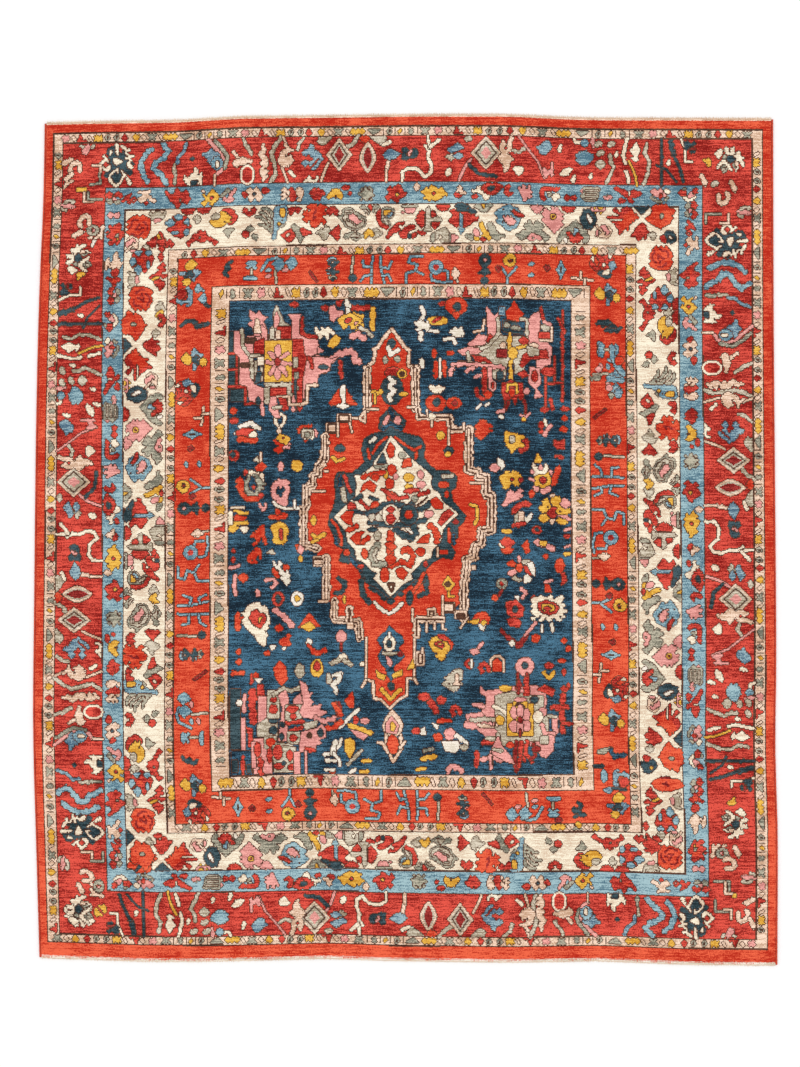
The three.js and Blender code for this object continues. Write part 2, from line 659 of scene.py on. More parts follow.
IVORY = charted("""
rosette
....oo.oo
..ooooooooo
.oommmoooooo
oomooooommoo
.omooomoomoo
oomoommooomo
omooomommomo
.ooommmooomo
oooooooomooo
.ommooomooo
..oommmoooo
....ooo.oo

crown
a.aaaa.a
aaaaaaaa
.aaaaaa
.assssa
..ssss

star_leaf
......r
.....yrr
....ryyr
...rryyrr
..rrrryrrr.r
rrrrrr.rrrrrr
.rrrr.rr.rrrrr
..rr..rr..r.r
.......r

pinwheel
.....bbb
...rbbbbbrr
..bbrbbbrrbb
.bbbbrrrrbbb
bbbbbrrorbbb
.bbbrroorrrbr
..rrrroorrrrr
.rrrrrrrrrbbr
..rbbbbrrbbb
...bbbbrrbbb
....rrrrrrbb
.......rr

pebble
.aa
aaaa
.aaa
..a

half_flower
rrrrrrr
.rrrrr
..rrr

spray
......rr..........
.....rrrrr
...rrrrrrr
....rrgrrrr
..rrrrrrrrrrr
rrrr..rrrr.rrrr
rr...........rrr
.r............r

gold_cluster
......rrrrr.....
.....yyyrrrrr
..aa.yyyyrrrr
.aaaayyyyyrrrr
.aaaayyyyyyrrr
yyyyyyyyyyrrrr
yyyyyyy.yyyrr
.yyyyyyy.rrr
..yyyyy

mushroom
ggggg
gggg
.gg
.gg

vee
rr...rr
rrr.rrr
.rrrrr
..rrr

drop_leaf
....gg
...gggg
..rrgg
.rrrr
.rrrr.gg
..rr..ggg
.......gg

comb
...........bbbbb
...gggg...bbyyyb
......gg.bbbyyyb
..ggg..ggubbyyyb
....gg..gubbyyyb
gggg.gg.gubbbyyb
...gg.gg.ubbbbbb
....gg.ggubbb.bb
.....gg.gubyybb
..ggg.gggubyy.g
....ggg.guub.g
......gggubb
.......ggubg
........gub
.........ub
.........ub
.........b

stub
rrrrrr
rrrrrr
rr..r
rr

crossed_leaf
.....gg.........
.....gggg
....rggggrrr
..rrrrgggrrrrr
.rrcrrrgggrrrrr
rrccrrrggg.rr
.rrrrrr.ggg
..rrrr...gg
...rr....g

tulip
...oooo.oo
..oooooooooo
...oooroooo
.oo.oomoooo
ooooommoooro
ooroomooooo
.oooommooo
ooooomoooro
.oo.oooooooo
....ooooo.oo
....ooro
.....oo

comma
.rrr
rrrrrr
rrrrrr
.rr.rr

grey_leaf
....aa
..a.aaa
.aaaaaa
aaaaaaa
..aaaa
...aaa
...aa

thorn
...rr
..rrr
.rrrr
rrrrr
.rrrr
..rrr
...rr

curled_leaf
...gggg
..gaaaag
..gaggg.gg
..gaasss.gg
ggaaassss.ggg
.gaagsssssgaag
..gaaggsssssag
...gaaagsssaag
...gaaaaggaaag
....ggaaaaagg
......ggggg

red_crown
.gg.rr.gg
ggg.rr.ggg
.aaggrgaa
..gag.gag
...gg

moth
....g
..ggaagg
gggaaaaagg
ggg.gg.gg
.....gg

gold_moth
..yy.gaa
..yyyaaaa
.yyyyyaaaa
.yy.yyaaa
.y...aa

ring
...ggggg..
.rgyyyygg
rrgyyygbg
rrgyygbbg
rrgggbbg
rrga.gg
rrgaag
.rrgaag
.rrrrag
..rrrrg
....rr

half_rose
gggggggg
.ssssss
..sssss
s.ssss

branch
.....rrrr
....rr
...rrr
..rrrrr
.rrrrr
.rr
rr
rr

beetle
.....rrr..
...rrrrr
..rrrrr
.rrrr
rrrr...rr
rrrrnnrrr
.rrrnnrr

cross_flower
.....aa.......
.....aa
..rr.aarr
.rrr.aarrr
rrrr.aarr
rrrr.aaaaaaa
rrrr.aaaaaaaa
rrrr.aa.rrrr
.rrr.aa.rrrr
..rr.aa.rrr
....aaa..r
....aaaa
.rrrr
..rrr

tent
.....aaa
...aaaaaa
.gaaaaaaag
ggaa.aaaagsss
ggaa..aaagssss
gga..aaaagsss
gg...aaaagss

capped_flower
....nnnn
...nnnnnnn
....nnnnn.n
.rr.nnnnnnnnn
.rrrr.rrrrnnnn
..rrruurrrrrr
..rrruurrrrrr
.rrrruurrrrrrrr
rrrrruurrrrrrr
rrrrruurrrrr
..rrruurrrr
...rr.urr
.....bbb
.....bbb
......b

half_shield
gggyygggg.
ggggyggg
..ggggg
...ggg

flame
.......yy..gg
.......yy..ggg
.......yyy.gggg
....ss..yy..ggg
....sss.yyy.gggg
....sss..yyyggggg
gggg.ss.yyyy.ggggggg
.gggyyy.rryyyggggg
..ggyyyrrrryy..gg

blue_diamond
......bbb.......
....bbbbbbb
..bb.bbbbrbb
.bbbbbbb.rrrb
bbbbbbbbb.rrrr
.bbbsbsb.bbrrrr
..bbsssss.bbb
..bbbsssss.bb
.bbb..sssssbb
..bbbb.sss.b
....bbb..bbb
.....bbbbbb
......bbb

half_pink
ssssss
ssssss
.ssss
..ss

grey_crown
......g...g
......gg.gggg
....gggggggggg
....gggggggggg
.....gggggggg
...ggggggggggg
..gggggsssggggg
gggggg.sssss.gggg
.gggg.ssassss.ggg
..gg..ssss.ss.gg

pink_flower
.....s.s
.ss..ssss
.sssssssss
ssssyyyssss
.sssyrysss
.sssyyyssss
ssssssssss
.sssssssss
..sssssssss
...sssssss
....sssss
.....sss
......s

arch
........gg
.......gggg
......ggggggg
....ggggubggg
...gggggubbgggg
..ggrr.gub.gggg
.gggrrr.u.r.ggg
.ggggrrr.rrr.ggg
gggwwgrrrrrrrggg
gg.ww.rrrrrr.ggg
gg..w..rrrr..gg

ink_oval
..nnnn
.nnnnnn
.nnwnnn
nnnwwnnn
nnnwwwnn
nnnnwwnn
nnnnwwnn
.nnnnnn
.nnnnnn
..nnnn

half_gold
sysyyys
sssssss
.yy.yy

pink_moth
p.sssp
.ppsssp
sapsss.p
sa.ppssp
sapp.sp
ppppppp

leaf_pair
.........rr......
...rr..rrrrrr
...rrr.rrrroo
.....rrrrroooo
......rrooooooo
rrrrrrrroooooooo
.cccccccoooooo
..rrroooooooo
....rroooooo
....rrooooo
.....rroooo
......roo.o
......rr
......r

half_ink
.nnnnnnn
..nnnnn
...nnn
....n

red_leaf
.....rr
....rrr
...rrrrr
..rrrrrr
..rrrrrrr
.rrrrrrr
rrrrrrrr
...rrr.r
...rr

grey_eye
....ooooooo
...ooooooooo
...oooooorooooo
...rooooooooooo
...ooooggooooo
..oooooggoooo
oooorooggooooo
ooooooooooooo
..orooooooroo
...ooooooooo
.....ooooo
.......o

corner_leaf
...nnnn
..nnnnn
rrnncnnn
rrrncc.n
rrrnnnnn
.rrnnnn

oval_flower
....mmmmmm
..oooooooooooo
.oooooomooooooo
ooooommmoooooooo
.oooooommooooooo
.ooooooooooooo
...oooooooo

ink_bud
.rrr
.rrrr
..rr.nn
nnnnnnn
nnnnnnnn
nnnnyynn
.nnnyyn
.nnnnn
..nnn

lozenge
.rr
rrrr
.rr
""")
IVORY_ROW = table("""
motif         along across
rosette       96    104
crown         115   94
star_leaf     119   118
pinwheel      136   104
half_flower   146   91
pebble        155   98
half_flower   162   91
spray         163   117
gold_cluster  184   99
mushroom      188   113
vee           208   94
drop_leaf     208   114
comb          230   105
stub          254   94
crossed_leaf  257   116
tulip         274   99
comma         292   94
grey_leaf     283   116
thorn         295   116
curled_leaf   312   102
moth          314   119
red_crown     330   93
gold_moth     333   117
ring          347   102
half_rose     370   93
branch        356   114
beetle        370   115
cross_flower  391   105
half_flower   404   92
tent          406   119.5
capped_flower 425   102
half_shield   446   92
flame         447   116
blue_diamond  472   102
half_pink     499   92
grey_crown    495   114.5
pink_flower   515   103
half_flower   531   91
arch          536   114.5
ink_oval      551   101
half_gold     561   91
pink_moth     567   114
leaf_pair     587   102
half_ink      604   92
red_leaf      603   114
grey_eye      624   98
pebble        616   118
""")

# Sky-blue stripe: small single flowers

SKY = charted("""
triple
.rrr.rrr
rrrr.rrrr
.rr.sr.rr
..g.ss
.ggg.ggg
..gg.gg

hook
...rr
..rr
.rrr
rr.rr
...rr

dot
.r
rsr
.r

dancer
pppppp
..ppp
..pppp
ppppppp
pppp.pppp
.p.rr..pp
...rr

armed_flower
.....rr
r....rr...r
rr...rrrrrrr
.rrrrrrrrrrr
..rroorrrrrr
..rrrrrgrrrrr
...rrrrg.rrr
.....rrr..rr
.....rrr
......r

gold_star
p....y
yp..yyy
.y.yyyyy
.yyyrryyy
..yyrryyy
.yyyyyyy
yyy.yyy
.y...y

chevron
...gg..s
..ggg.ss
.gg..ss
gg..ss
.ss.ss
..sssss
...sss

dark_eye
...pp.pp..rrr
..ppppppp.rrrr
rr.ppnnpp.rrr
rrrppnnppp
.r.ppppppp
...ppp.ppp
....p...p

column
.p..rr..pp
ppp.rr.pppp
.ppprrrpppp
pp.prrr.ppp
.pp.rrrr.pp
pp.prrr..p
...prrr.pp

rosette
..r.r
.rrrrrr
rrrrrrrr
.rrmmrr
..rrrr
..rrrr

gold_fan
...yyy
..yyyyy
.yyyyyyy
yyyykyyy
yy..k.yy

dots
rrrr
rrrr
.
...rr
...rr

thistle
...g.g
.g.gg.g
..ggggg
ggggggg
.ggggggg
..gggg
.g.gg.g

red_star
......r
..r.rrrr
.rrrrrrrr
..rrrrrrr
..rrryyrrrr
.rrrryyrrr
rrrrrrrrr
.r..rrr
.....rr

drop
.p
ppp
ppp
.p

gold_flower
....yy
..y.yyyy.yy
.yyyyyyyyyy
yyyyyrryyyyy
.yyyyrryyyyyy
..yyyyyyyyy
.yyyyyyyyy
...yy.yy

bell
..pp
..pp
.pppp
rr.ppp
rrrr
.rr

white_branch
...cccc
..ccc
ccccc
...cccc
.rr..cccc
rrr...ccc
......cc

ring_leaf
..rrrrrrr
.rrrnnnrrrr
rrrnnnnrrr
.rrrnnrrr
..rrrrrr
....rrr

crescent
.rr
rrr
rr
rr
rrrr
.rr

pink_flower
..s..s
s.ss.s
ssssss
.ssssss
.sssss
..sssss
..sss
...s

seven
.rrrrrrrrr
rrrrrrrrr
rr.cc
rr..gg.cc
rr..g.cccc
rrr...ccc
.rr....c

bow
rr..rr
rrrrrr
rr..rr

pink_bow
ss..ss
ssssss
ss.sss

wreath
.....rr
.r..rrr
.rrrrrr
..rrooo
r.rooorrr
.rrrrgrrr
rrrrggrr
.rrroyrr
...royr
.rrrrrr
.rrr.r

climber
.....p
....pp
....pp
.p..ppp
pp..ppp
pp.pppppp
pp.ppppp
p.pppppp
p...ppp
....pp

arrow
rr..rr
.rrorrr
..roor
...rr
...rr

block
.ggggggggg
sgaaaaaaag
sgggggggg
.gaaaaaag
ggggggggg
.gaaaaaag
..gggggg

bud
.gs
ssss
.ss

bird
rrr............
.rrrrr...rr
...rrrrcrrrrrr
....rrrcrrrrrr
.....rrrrrrr
...rr..rr
..rrrr.rrr
..rrr...rr

lotus
.ss.ss.cc
ssssss.ccc
.sssrrssc
..ssrrss
g...rr..g
.gg....g
...ggg

pair
..gg....rr.
.rrr...rrr
rrrr..srr
.rrr.sss
..cc.sscc
...ccccc
....cc

berry
.rrr
rrrr
rrrr
.rr
""")
SKY_ROW = table("""
motif        along across
triple       70    76
hook         83    77
dot          90    78
dancer       104   76
armed_flower 135   77
gold_star    168   78
chevron      186   77
dark_eye     214   77
column       251   77
rosette      276   77
gold_fan     294   77
dots         306   74
thistle      326   77
red_star     356   77
drop         377   71
gold_flower  395   77
bell         421   76
white_branch 442   77
ring_leaf    453   73
crescent     470   74
pink_flower  487   76
seven        512   76
bow          533   79
block        553   75
bud          571   78
bird         592   76
lotus        624   76
pair         653   75
""")

# What fills the stripe beyond the ends of its row: in chart knots, and in quarter turns clockwise.
SKY_CORNERS = table("""
motif    u   v   turn
pink_bow 71  93  0
wreath   73  112 0
climber  73  140 0
berry    74  151 0
arrow    73  160 0
triple   74  174 3
triple   659 664 1
arrow    658 675 2
berry    657 685 2
climber  658 701 2
wreath   658 728 2
pink_bow 659 746 2
""")

# Crimson border: animals, leaves and diamonds

RED = charted("""
ink_rosette
........cc
.......ncc.cc
.....nnncc..cc
....nccn.c..nccc
....nccnccn.nc
....ncnnncnnncc
..c..nnnnnnnnn.ccc
...c.nncccnnnccc
..ccc.ncccccnnncc
.ccrcnncccccnnccn
ccrrrcnnccnnnncccn
.ccrccnnnnnnnnccc
..ccccnnncnnnnncc
...cc.ncccncnnnnn
....nnccncnccnnnn
...nnccnnnnncc.nn
...nncnnnnnncc
.....ccnnnncc.cc
.....ccnnnnc..cc
......ccnncc...cc
.......cccc....cc
........cc

square
nn
nn

boat
.....c
.....cc
.....cc
...cccc.c
c..cccccc
ccccccccc
cccnnnncc
.ccnnnncc
..cnnnc.c

blue_star
....u
...uuu
uuuuuuuu
.uuuuuuuu
..uuuuuu
...uuuu
...uu.u
....u

pod
..bb
.bbbb
bbccbb
bbccbb
bbccbb
.bccb
..bb

thigh
....pp
.pppppppp
pppppppppp
ppppppp
.pp

tall_leaf
..p
..p
..pp
.ppp
.pp
ppp
.ppp
.pppp
..ppp
.pppp
.pppp
..ppp
.pp
.pppp
.pppp
.ppp
..ppp
..pp
..p

figure
...p
...pp
....pp
..pppppp
..ppp
.ppp
.pp..pp
ppppppp
pppppppp
ppppppp
.pppppp
..ppp

blue_bird
....u
....uu
...uuu
.uuuuuu
uuuuuuuuu
.uu.uuuuuu
.....uuuuu
......uu.uu
.uu..uu.uu
uuuuuu..u
.uu.u..uu
......uu
.....uu

shed_leaf
.aaaaaa
aaaaaa
aaaaa
.aaa

chips
..c...c
.cc...c
cccccc

patch
ooooo
ooooo
.ooo

wing
.aaaaaaaa.
..aaaaaaa
...aaaaa
.....aaa

tip
...cc
.cccc
ccc

blue_oval
..uuu
.uuuuuu
uuuuuuuu
uuuuuuu
.uuuuu

tile
nnn..nn
nnn.snnn
nn.s.nnn
nn.s.nnn
nnnnnnn
nnn

drip
.cc
ccc
ccc
cc

grey_drip
..aaa
aaaaa
..aa

double_leaf
....uu...
...uuuu
.uuuuuuu
uuuuuu
.uuu
....uuu
...uuuuu
....uuu

bar
aaaa
aaaa

hound
.......pp
.......pp
...p..pp
...pp.pp
..pppppp
..pp..pp
..pp..pp
..ppppp
...ppp
..ppppp
.ppppppp
.pppppppp
..pppppp
...pppp
....ppp
....ppp
....pp
....p

white_leaf
ccccc
ccccc
.cccc
.ccc

chair
....s
....s
....s
s...s
sssss
sssss
sss.s
.s

blue_lozenge
....uuu
...uuuu
..uuuuuu
uuuuuuuu
.uuuuuu
..uuuu
..uuu

sliver
.c
cc
cc
c

flag_leaf
...ccc
.ccccc
.cccc
cccc

blue_bit
.bb
bbbb
bbbb
.bb

pink_bit
ss
ss
ss
.s
.s

grey_bit
.aaa
aaaa
aaa

aqua_flower
...bbb
.bbbbbbb
bbbbbbbbb
.bbbbbbbb
bbbbbbbb
.bbbbbb
..bbbb

grey_oval
.aaa
aaaaa
aaaaa
.aaa

crumb
.c
cc
cc

split_leaf
..cc
..cc
.cccc
ccccc
.cccc
.ccc
..cc
.ccc
..cc

three_stones
nnn.nn..
nnnnnn
nnn
nn.mmm
...nnn
...nn

gold_flag
yyyy
.yyy
..yy
..yy

daisy
.....cc..c
..cc.cc.cc
.ccc.cc.cc.cc
cccc..cccc.cc
.cc.gg.nn.ccc
.cc.ggnnnn.cccc
....c.nnnn.ccc
...ccc.nn.pp.cc
..cc.cc..gpp.cc
.cc.g.cc.gpc..c
.c.gag.c..gc
...aag.cc.cc
....g

stick
pp
ppp
.pp
.ppp
..pp
..pp

horseshoe
..pppp
.pppppp
.pp..pp
pp...pp
pp...pp
ppp..pp
.pp

curl
.gggg..pp
gg..gg.pp
gg.sgg.p
gg..gg.p
.gggg.pp
..p..ppp
.pp.pp.p

rose_block
..aaaaa
.aa..aa
ssssss
.ssssss
aa
.aa

claw
...pp
..ppp
.ppp
ppp
.p.pp
.pp
pp
p

clover
aa.ss.a
.asss.a
.ssss
.sss
..ss
""")
RED_ROW = table("""
motif        along across
ink_rosette  72    43
square       149   38
boat         150   56
blue_star    168   37
pod          174   44
thigh        200   44
tall_leaf    221   45
figure       244   38
blue_bird    271   40
shed_leaf    283   24
chips        270   62
patch        324   23
wing         338   24
tip          346   27
blue_oval    351   38
tile         370   38
drip         409   56
grey_drip    411   41
double_leaf  417   35
bar          429   23
hound        466   38
white_leaf   480   54
chair        510   52
blue_lozenge 506   30
sliver       522   30
flag_leaf    528   53
sliver       536   60
blue_bit     547   24
pink_bit     555   24
grey_bit     561   25
grey_bit     563   34
grey_bit     574   25
aqua_flower  547   39
grey_oval    563   45
crumb        553   57
crumb        579   35
split_leaf   598   33
crumb        632   43
three_stones 656   28
gold_flag    671   43
daisy        694   40
""")
RED_LINES = """
b 5   107,27 101,32 97,40 97,47 101,55 104,59
b 5   119,22 125,29 121,35 111,41 110,47 117,52 123,62
u 3   143,22 140,30 134,36 134,42
a 3   131,43 131,51
g 3   132,54 132,62
s 3   165,20 171,27 179,36 182,44 178,52 172,56
g 3   172,21 179,29 185,38 182,49
p 1.6 172,56 172,66
a 3   201,21 203,27 207,32 209,36
p 3   191,34 195,39 200,44
a 3.4 239,20 233,28 229,36 232,46 234,56 229,64
p 2   241,20 246,30
p 2   240,50 246,65
c 3   248,54 252,59
a 3   262,21 257,27 256,33
p 2   287,46 283,55 280,64
a 3.4 318,19 312,27 305,31
p 3   348,45 346,54
p 2   346,54 346,65
c 2.8 362,65 362,56 368,52 378,53 385,61 391,57 392,50 388,42 389,35 385,30
c 2.5 389,32 388,20
c 3   390,31 400,24
s 2.4 432,43 425,52 420,64
n 3   430,49 440,58 457,60
a 3   474,34 480,36 486,32
s 1.6 480,20 490,33 500,45 506,60
c 2.5 536,20 538,24 546,23
a 3   573,36 573,42 577,48 573,56 569,64
c 3   590,20 588,28 586,36 588,44
c 3   589,52 592,63
y 2   592,42 596,50 599,58 600,66
a 3   610,25 608,34 613,42 612,52 607,64
n 2.6 625,20 625,66
n 4.4 634,22 637,35
n 2.4 637,35 644,50 647,62
n 1.6 620,46 630,50 640,62
c 2   645,20 649,30 649,42 656,42
"""
# Rings inside each other: middle, outermost size, and the power of the outline: 1 a diamond, 2 an oval.
RED_RINGS = table("""
along across long wide power rings
205   57     15   20   2     crr
327   41     17   30   1.3   pamm
298   38     26   33   1     pakamm
447   37     31   33   1     pakaas
""")

# Orange border: sparse sky-blue and ink figures

ORANGE = charted("""
ink_hook
...nn
..nn
.nn
.nnn
.nnn
nn
nn
.nn

blue_arrow
bbbbb
bbbbb
.bbb
bb.bb

blue_bar
.bbbbb
bbbbbbb

blue_gem
..bbb
.bbbb
bbbbbb
.bbbbb
.bbbb
..bb

pink_chip
.ss
sss

blue_chip
.bb
bbb

ink_drop
.nn
nnnn
nnnn
.nn

cream_drop
.p
.pp
pppp
pppp
.pp
.p

ink_ring
..nn
.nnnn
nnssnn
nnssnn
nnnnnn
.nnnn
..nn
..nn
.nnnn
nnnnnn
..nn

gold_ring
..yyy
.yyyyy
yyy.yy
yy.m.y
yyy.yy
.yyyy

lozenge
..b
..b
.bbb
.bkb
bbkbb
.bkb
.bbb
..b
..b

red_chip
mm
mmm
.m

rose_leaf
...rr...rcc
.c.rrrrrrccr
.c..rrr.rrrr
rc...rrrrruu
rr...rccruuuu
rrr.rrccruuuu
.rrrrr.rrruuu
..rrr..rccuu
.....nncccu
....nnccccn
.....nnnnnn
.......nnn

quatrefoil
......u
......uu
..y..uuuu
.yyy.uunuuu
yyyyynnnnu
yyyyynnnu.yy
.yyyy.nnnyyyy
..yyy.unnyyyy
......uun.yy
......uu
......u

totem
.uuu
unnnu
nnpnnn
.nnnn
..nn
.sns
nnnnu
unnnnn
.unnu
..gg
.gnng
..nn

moon
.....u...
..rr.uu
.rrrr.uu
rrrrr.uu
rrrrr.uu
.rrr..uu
b....uuu
bbbbuuuu
..b...uu
.....uu

darter
.b
.bb
bbbb
.bb.u
.
....b
...bbb
..bbbb
...bbb
....bn
.....nn
......nn
""")
ORANGE_ROW = table("""
motif      along across
totem      294   152
ink_hook   188   150
blue_bar   211   160
blue_arrow 212   147
blue_gem   239   147
pink_chip  229   158
blue_chip  229   152
blue_gem   252   146
pink_chip  246   152
ink_drop   314   161
cream_drop 418   157
ink_ring   447   149
ink_drop   447   164
red_chip   461   153
gold_ring  472   144
blue_chip  494   147
blue_chip  494   158
red_chip   510   151
lozenge    524   152
""")
# The larger figures near the orange border's corners: motif, place and quarter turns clockwise.
ORANGE_CORNERS = table("""
motif      u   v   turn
quatrefoil 150 152 1
moon       146 176 0
darter     163 176 0
quatrefoil 156 239 0
rose_leaf  150 272 3
rose_leaf  566 147 0
quatrefoil 571 175 0
rose_leaf  579 569 1
quatrefoil 575 600 0
moon       583 659 2
quatrefoil 580 685 1
quatrefoil 157 665 0
rose_leaf  160 691 2
""")
ORANGE_LINES = """
a 2 212,151 212,157
b 2.4 222,152 228,142 236,140 243,142
a 2 236,153 237,165
m 2.5 271,155 278,164
a 2   314,140 313,156
b 2   334,140 333,150 333,166
b 2   333,150 325,150 324,144
b 2   333,158 326,159 322,164
b 2   342,140 342,150 346,166
b 2   342,150 350,152 353,145
b 2   344,159 350,158 353,164
b 2 368,166 368,157 377,154 385,158
b 2 377,154 379,148 370,146 372,140 384,140
b 2   393,158 394,164 405,166 414,165
b 2   410,162 410,155 405,154
a 1.6 420,166 419,160 417,155
b 2   464,151 470,160 470,167
b 2   479,151 471,160
p 2   535,160 556,162
p 2   544,154 544,160
p 2   548,161 548,166
"""
ORANGE_RINGS = table("""
along across long wide power rings
398   151    14   14   2     bbrr
""")


RING_STEP = 4  # knots by which each ring is smaller than the one around it, over its whole width
SMALLEST_RING = 2


def ring_in(band, rows):
    """Knots rings inside each other on every side: two knots of each letter, from the outermost inwards."""
    for row, side in ((row, side) for row in rows for side in TURNS):
        u, v = spot(side, band, row["along"], row["across"])
        sizes = (row["long"], row["wide"])
        across, along = sizes if side in ("top", "bottom") else sizes[::-1]
        for i, letter in enumerate(row["rings"]):
            wide, long = across - RING_STEP * i, along - RING_STEP * i
            if min(wide, long) < SMALLEST_RING:
                break
            over, down = abs((knot_u - u) / wide * 2), abs((knot_v - v) / long * 2)
            colour_in(over ** row["power"] + down ** row["power"] <= 1, letter, edged=i == 0)


def scatter(motifs, rows):
    """Knots motifs at their own places: u, v and, where a row gives them, quarter turns clockwise."""
    for row in rows:
        knot_in(motifs[row["motif"]], row["u"], row["v"], int(row.get("turn", 0)))


for row in GUARDS:
    run_guard(row["band"], row["middle"], row["share"])
run_band("ivory", IVORY, IVORY_ROW)
run_band("sky", SKY, SKY_ROW)
scatter(SKY, SKY_CORNERS)
draw_band("red", RED_LINES)
ring_in("red", RED_RINGS)
run_band("red", RED, RED_ROW)
draw_band("orange", ORANGE_LINES)
ring_in("orange", ORANGE_RINGS)
run_band("orange", ORANGE, ORANGE_ROW)
scatter(ORANGE, ORANGE_CORNERS)

# The field

# A frame is a wide line with a dark line inside it and its own colour inside that: how much narrower each is.
FRAME_DARK = 3.4
FRAME_CORE = 6


def draw(text):
    """Draws shapes on the cloth, a row each: shape, letter, size, then places u,v. An indented row goes on.

    The size is a line's width or, of an oval or a box, wide x long.
    """
    for row in text.strip().replace("\n ", "").split("\n"):
        shape, letter, size, *pairs = row.split()
        places = [tuple(map(float, pair.split(","))) for pair in pairs]
        if shape == "fill":
            colour_in(inside(places), letter)
        elif shape == "line":
            colour_in(near_line(places, float(size)), letter)
        elif shape == "frame":
            for narrower, yarn in ((0, letter), (FRAME_DARK, "k"), (FRAME_CORE, letter)):
                if float(size) > narrower:
                    colour_in(near_line(places, float(size) - narrower), yarn, edged=yarn != "k")
        else:
            wide, long = map(float, size.split("x"))
            for u, v in places:
                mask = oval(u, v, wide, long)
                if shape == "box":
                    mask = (abs(knot_u - u) < wide / 2) & (abs(knot_v - v) < long / 2)
                colour_in(mask, letter)


MEDALLION = """
fill o - 354,212 340,230 337,233 337,245 330,249 330,292 322,301 307,303 295,309 287,318 287,341 279,352
  275,361 270,370 270,387 267,391 267,425 271,430 281,431 281,441 289,443 289,483 298,485 298,502
  323,504 323,521 330,521 330,562 337,563 337,580 345,581 354,589 364,580 371,577 371,560 378,560
  378,503 406,501 406,488 420,488 427,480 427,462 429,441 437,439 437,427 444,425 444,413 455,412
  455,376 448,374 448,358 441,357 441,353 432,352 432,312 413,312 413,301 381,300 378,292 378,250
  371,249 371,234 366,230
line p 3 354,212 346,222 341,230 337,232 337,244 331,249
line p 3 354,212 362,222 367,230 372,234 371,249 378,250
line p 2.4 382,250 386,248
frame p 7.6 330,252 330,292
frame p 7.6 378,252 379,292
line p 2 330,292 341,292
line p 2 371,290 378,290
line p 2.4 322,301 328,294 328,305 322,301
line p 2 313,301 320,301
box p 14x9 307,301
box k 11x6 307,301
box p 9x4 307,301
box p 12x11 295,311
box k 9x8 295,311
box p 7x6 295,311
line p 1.8 301,306 301,319
line p 1.8 313,306 315,315
frame p 7.6 288,319 288,341 281,351 281,357 276,358 276,368 270,370 270,387 267,391 267,427 280,431
fill p - 287,342 290,349 282,351
line p 1.8 288,354 291,354
line p 1.8 276,374 288,374
box p 13x10 283,444
box k 10x7 283,444
box p 8x4 282,445
frame p 7.6 290,441 290,481
line p 2 283,484 291,484
frame p 7.2 298,484 298,502 322,504 323,520
frame p 6.6 313,503 313,491
box p 6x6 314,508
line p 2.4 330,520 330,562 337,563 338,580 345,581 354,590
line p 2.4 330,562 326,569
line p 2.2 378,517 378,560 371,560 371,577 364,580 354,590
line p 2.2 378,560 381,565
frame p 5.6 381,292 382,300 413,300 414,312 429,312
frame p 8.4 432,312 432,352 441,354 441,358 449,360 449,376 455,378 455,412 445,413 444,425 438,427
  437,439 430,441 429,460 427,463 427,499
line p 1.8 390,293 391,299
line p 1.8 395,303 395,309
line p 1.8 412,312 412,327
line p 1.8 427,306 427,312
box p 12x8 424,496
box k 9x4 424,497
box p 13x11 412,489
box k 10x8 412,489
box p 8x6 412,489
line p 1.8 406,478 406,510 409,511
frame p 5.6 397,500 397,493 393,493 393,500
frame p 5.8 406,501 380,501 380,517
line p 1.8 376,491 376,503
line p 1.8 390,504 390,513
line p 1.8 398,504 398,510
line p 1.8 430,500 424,509
box p 8x14 384,540
box k 5x11 384,540
box p 2x8 384,540
line p 1.8 386,530 386,534
line p 2 414,298 416,302
line p 1.8 434,365 446,365
oval n 8x9 354,227
line w 3.6 350,230 354,238 361,233
oval g 5x7 348,243
oval g 6x6 360,242
oval r 16x12 356,256
oval y 9x9 365,257
box k 4x4 365,257
oval n 22x29 355,273
line w 3.6 352,261 357,265 352,269 358,274 352,279 354,283
line y 4 337,275 344,275
line y 2 338,277 338,286
oval y 9x4 367,277
"""
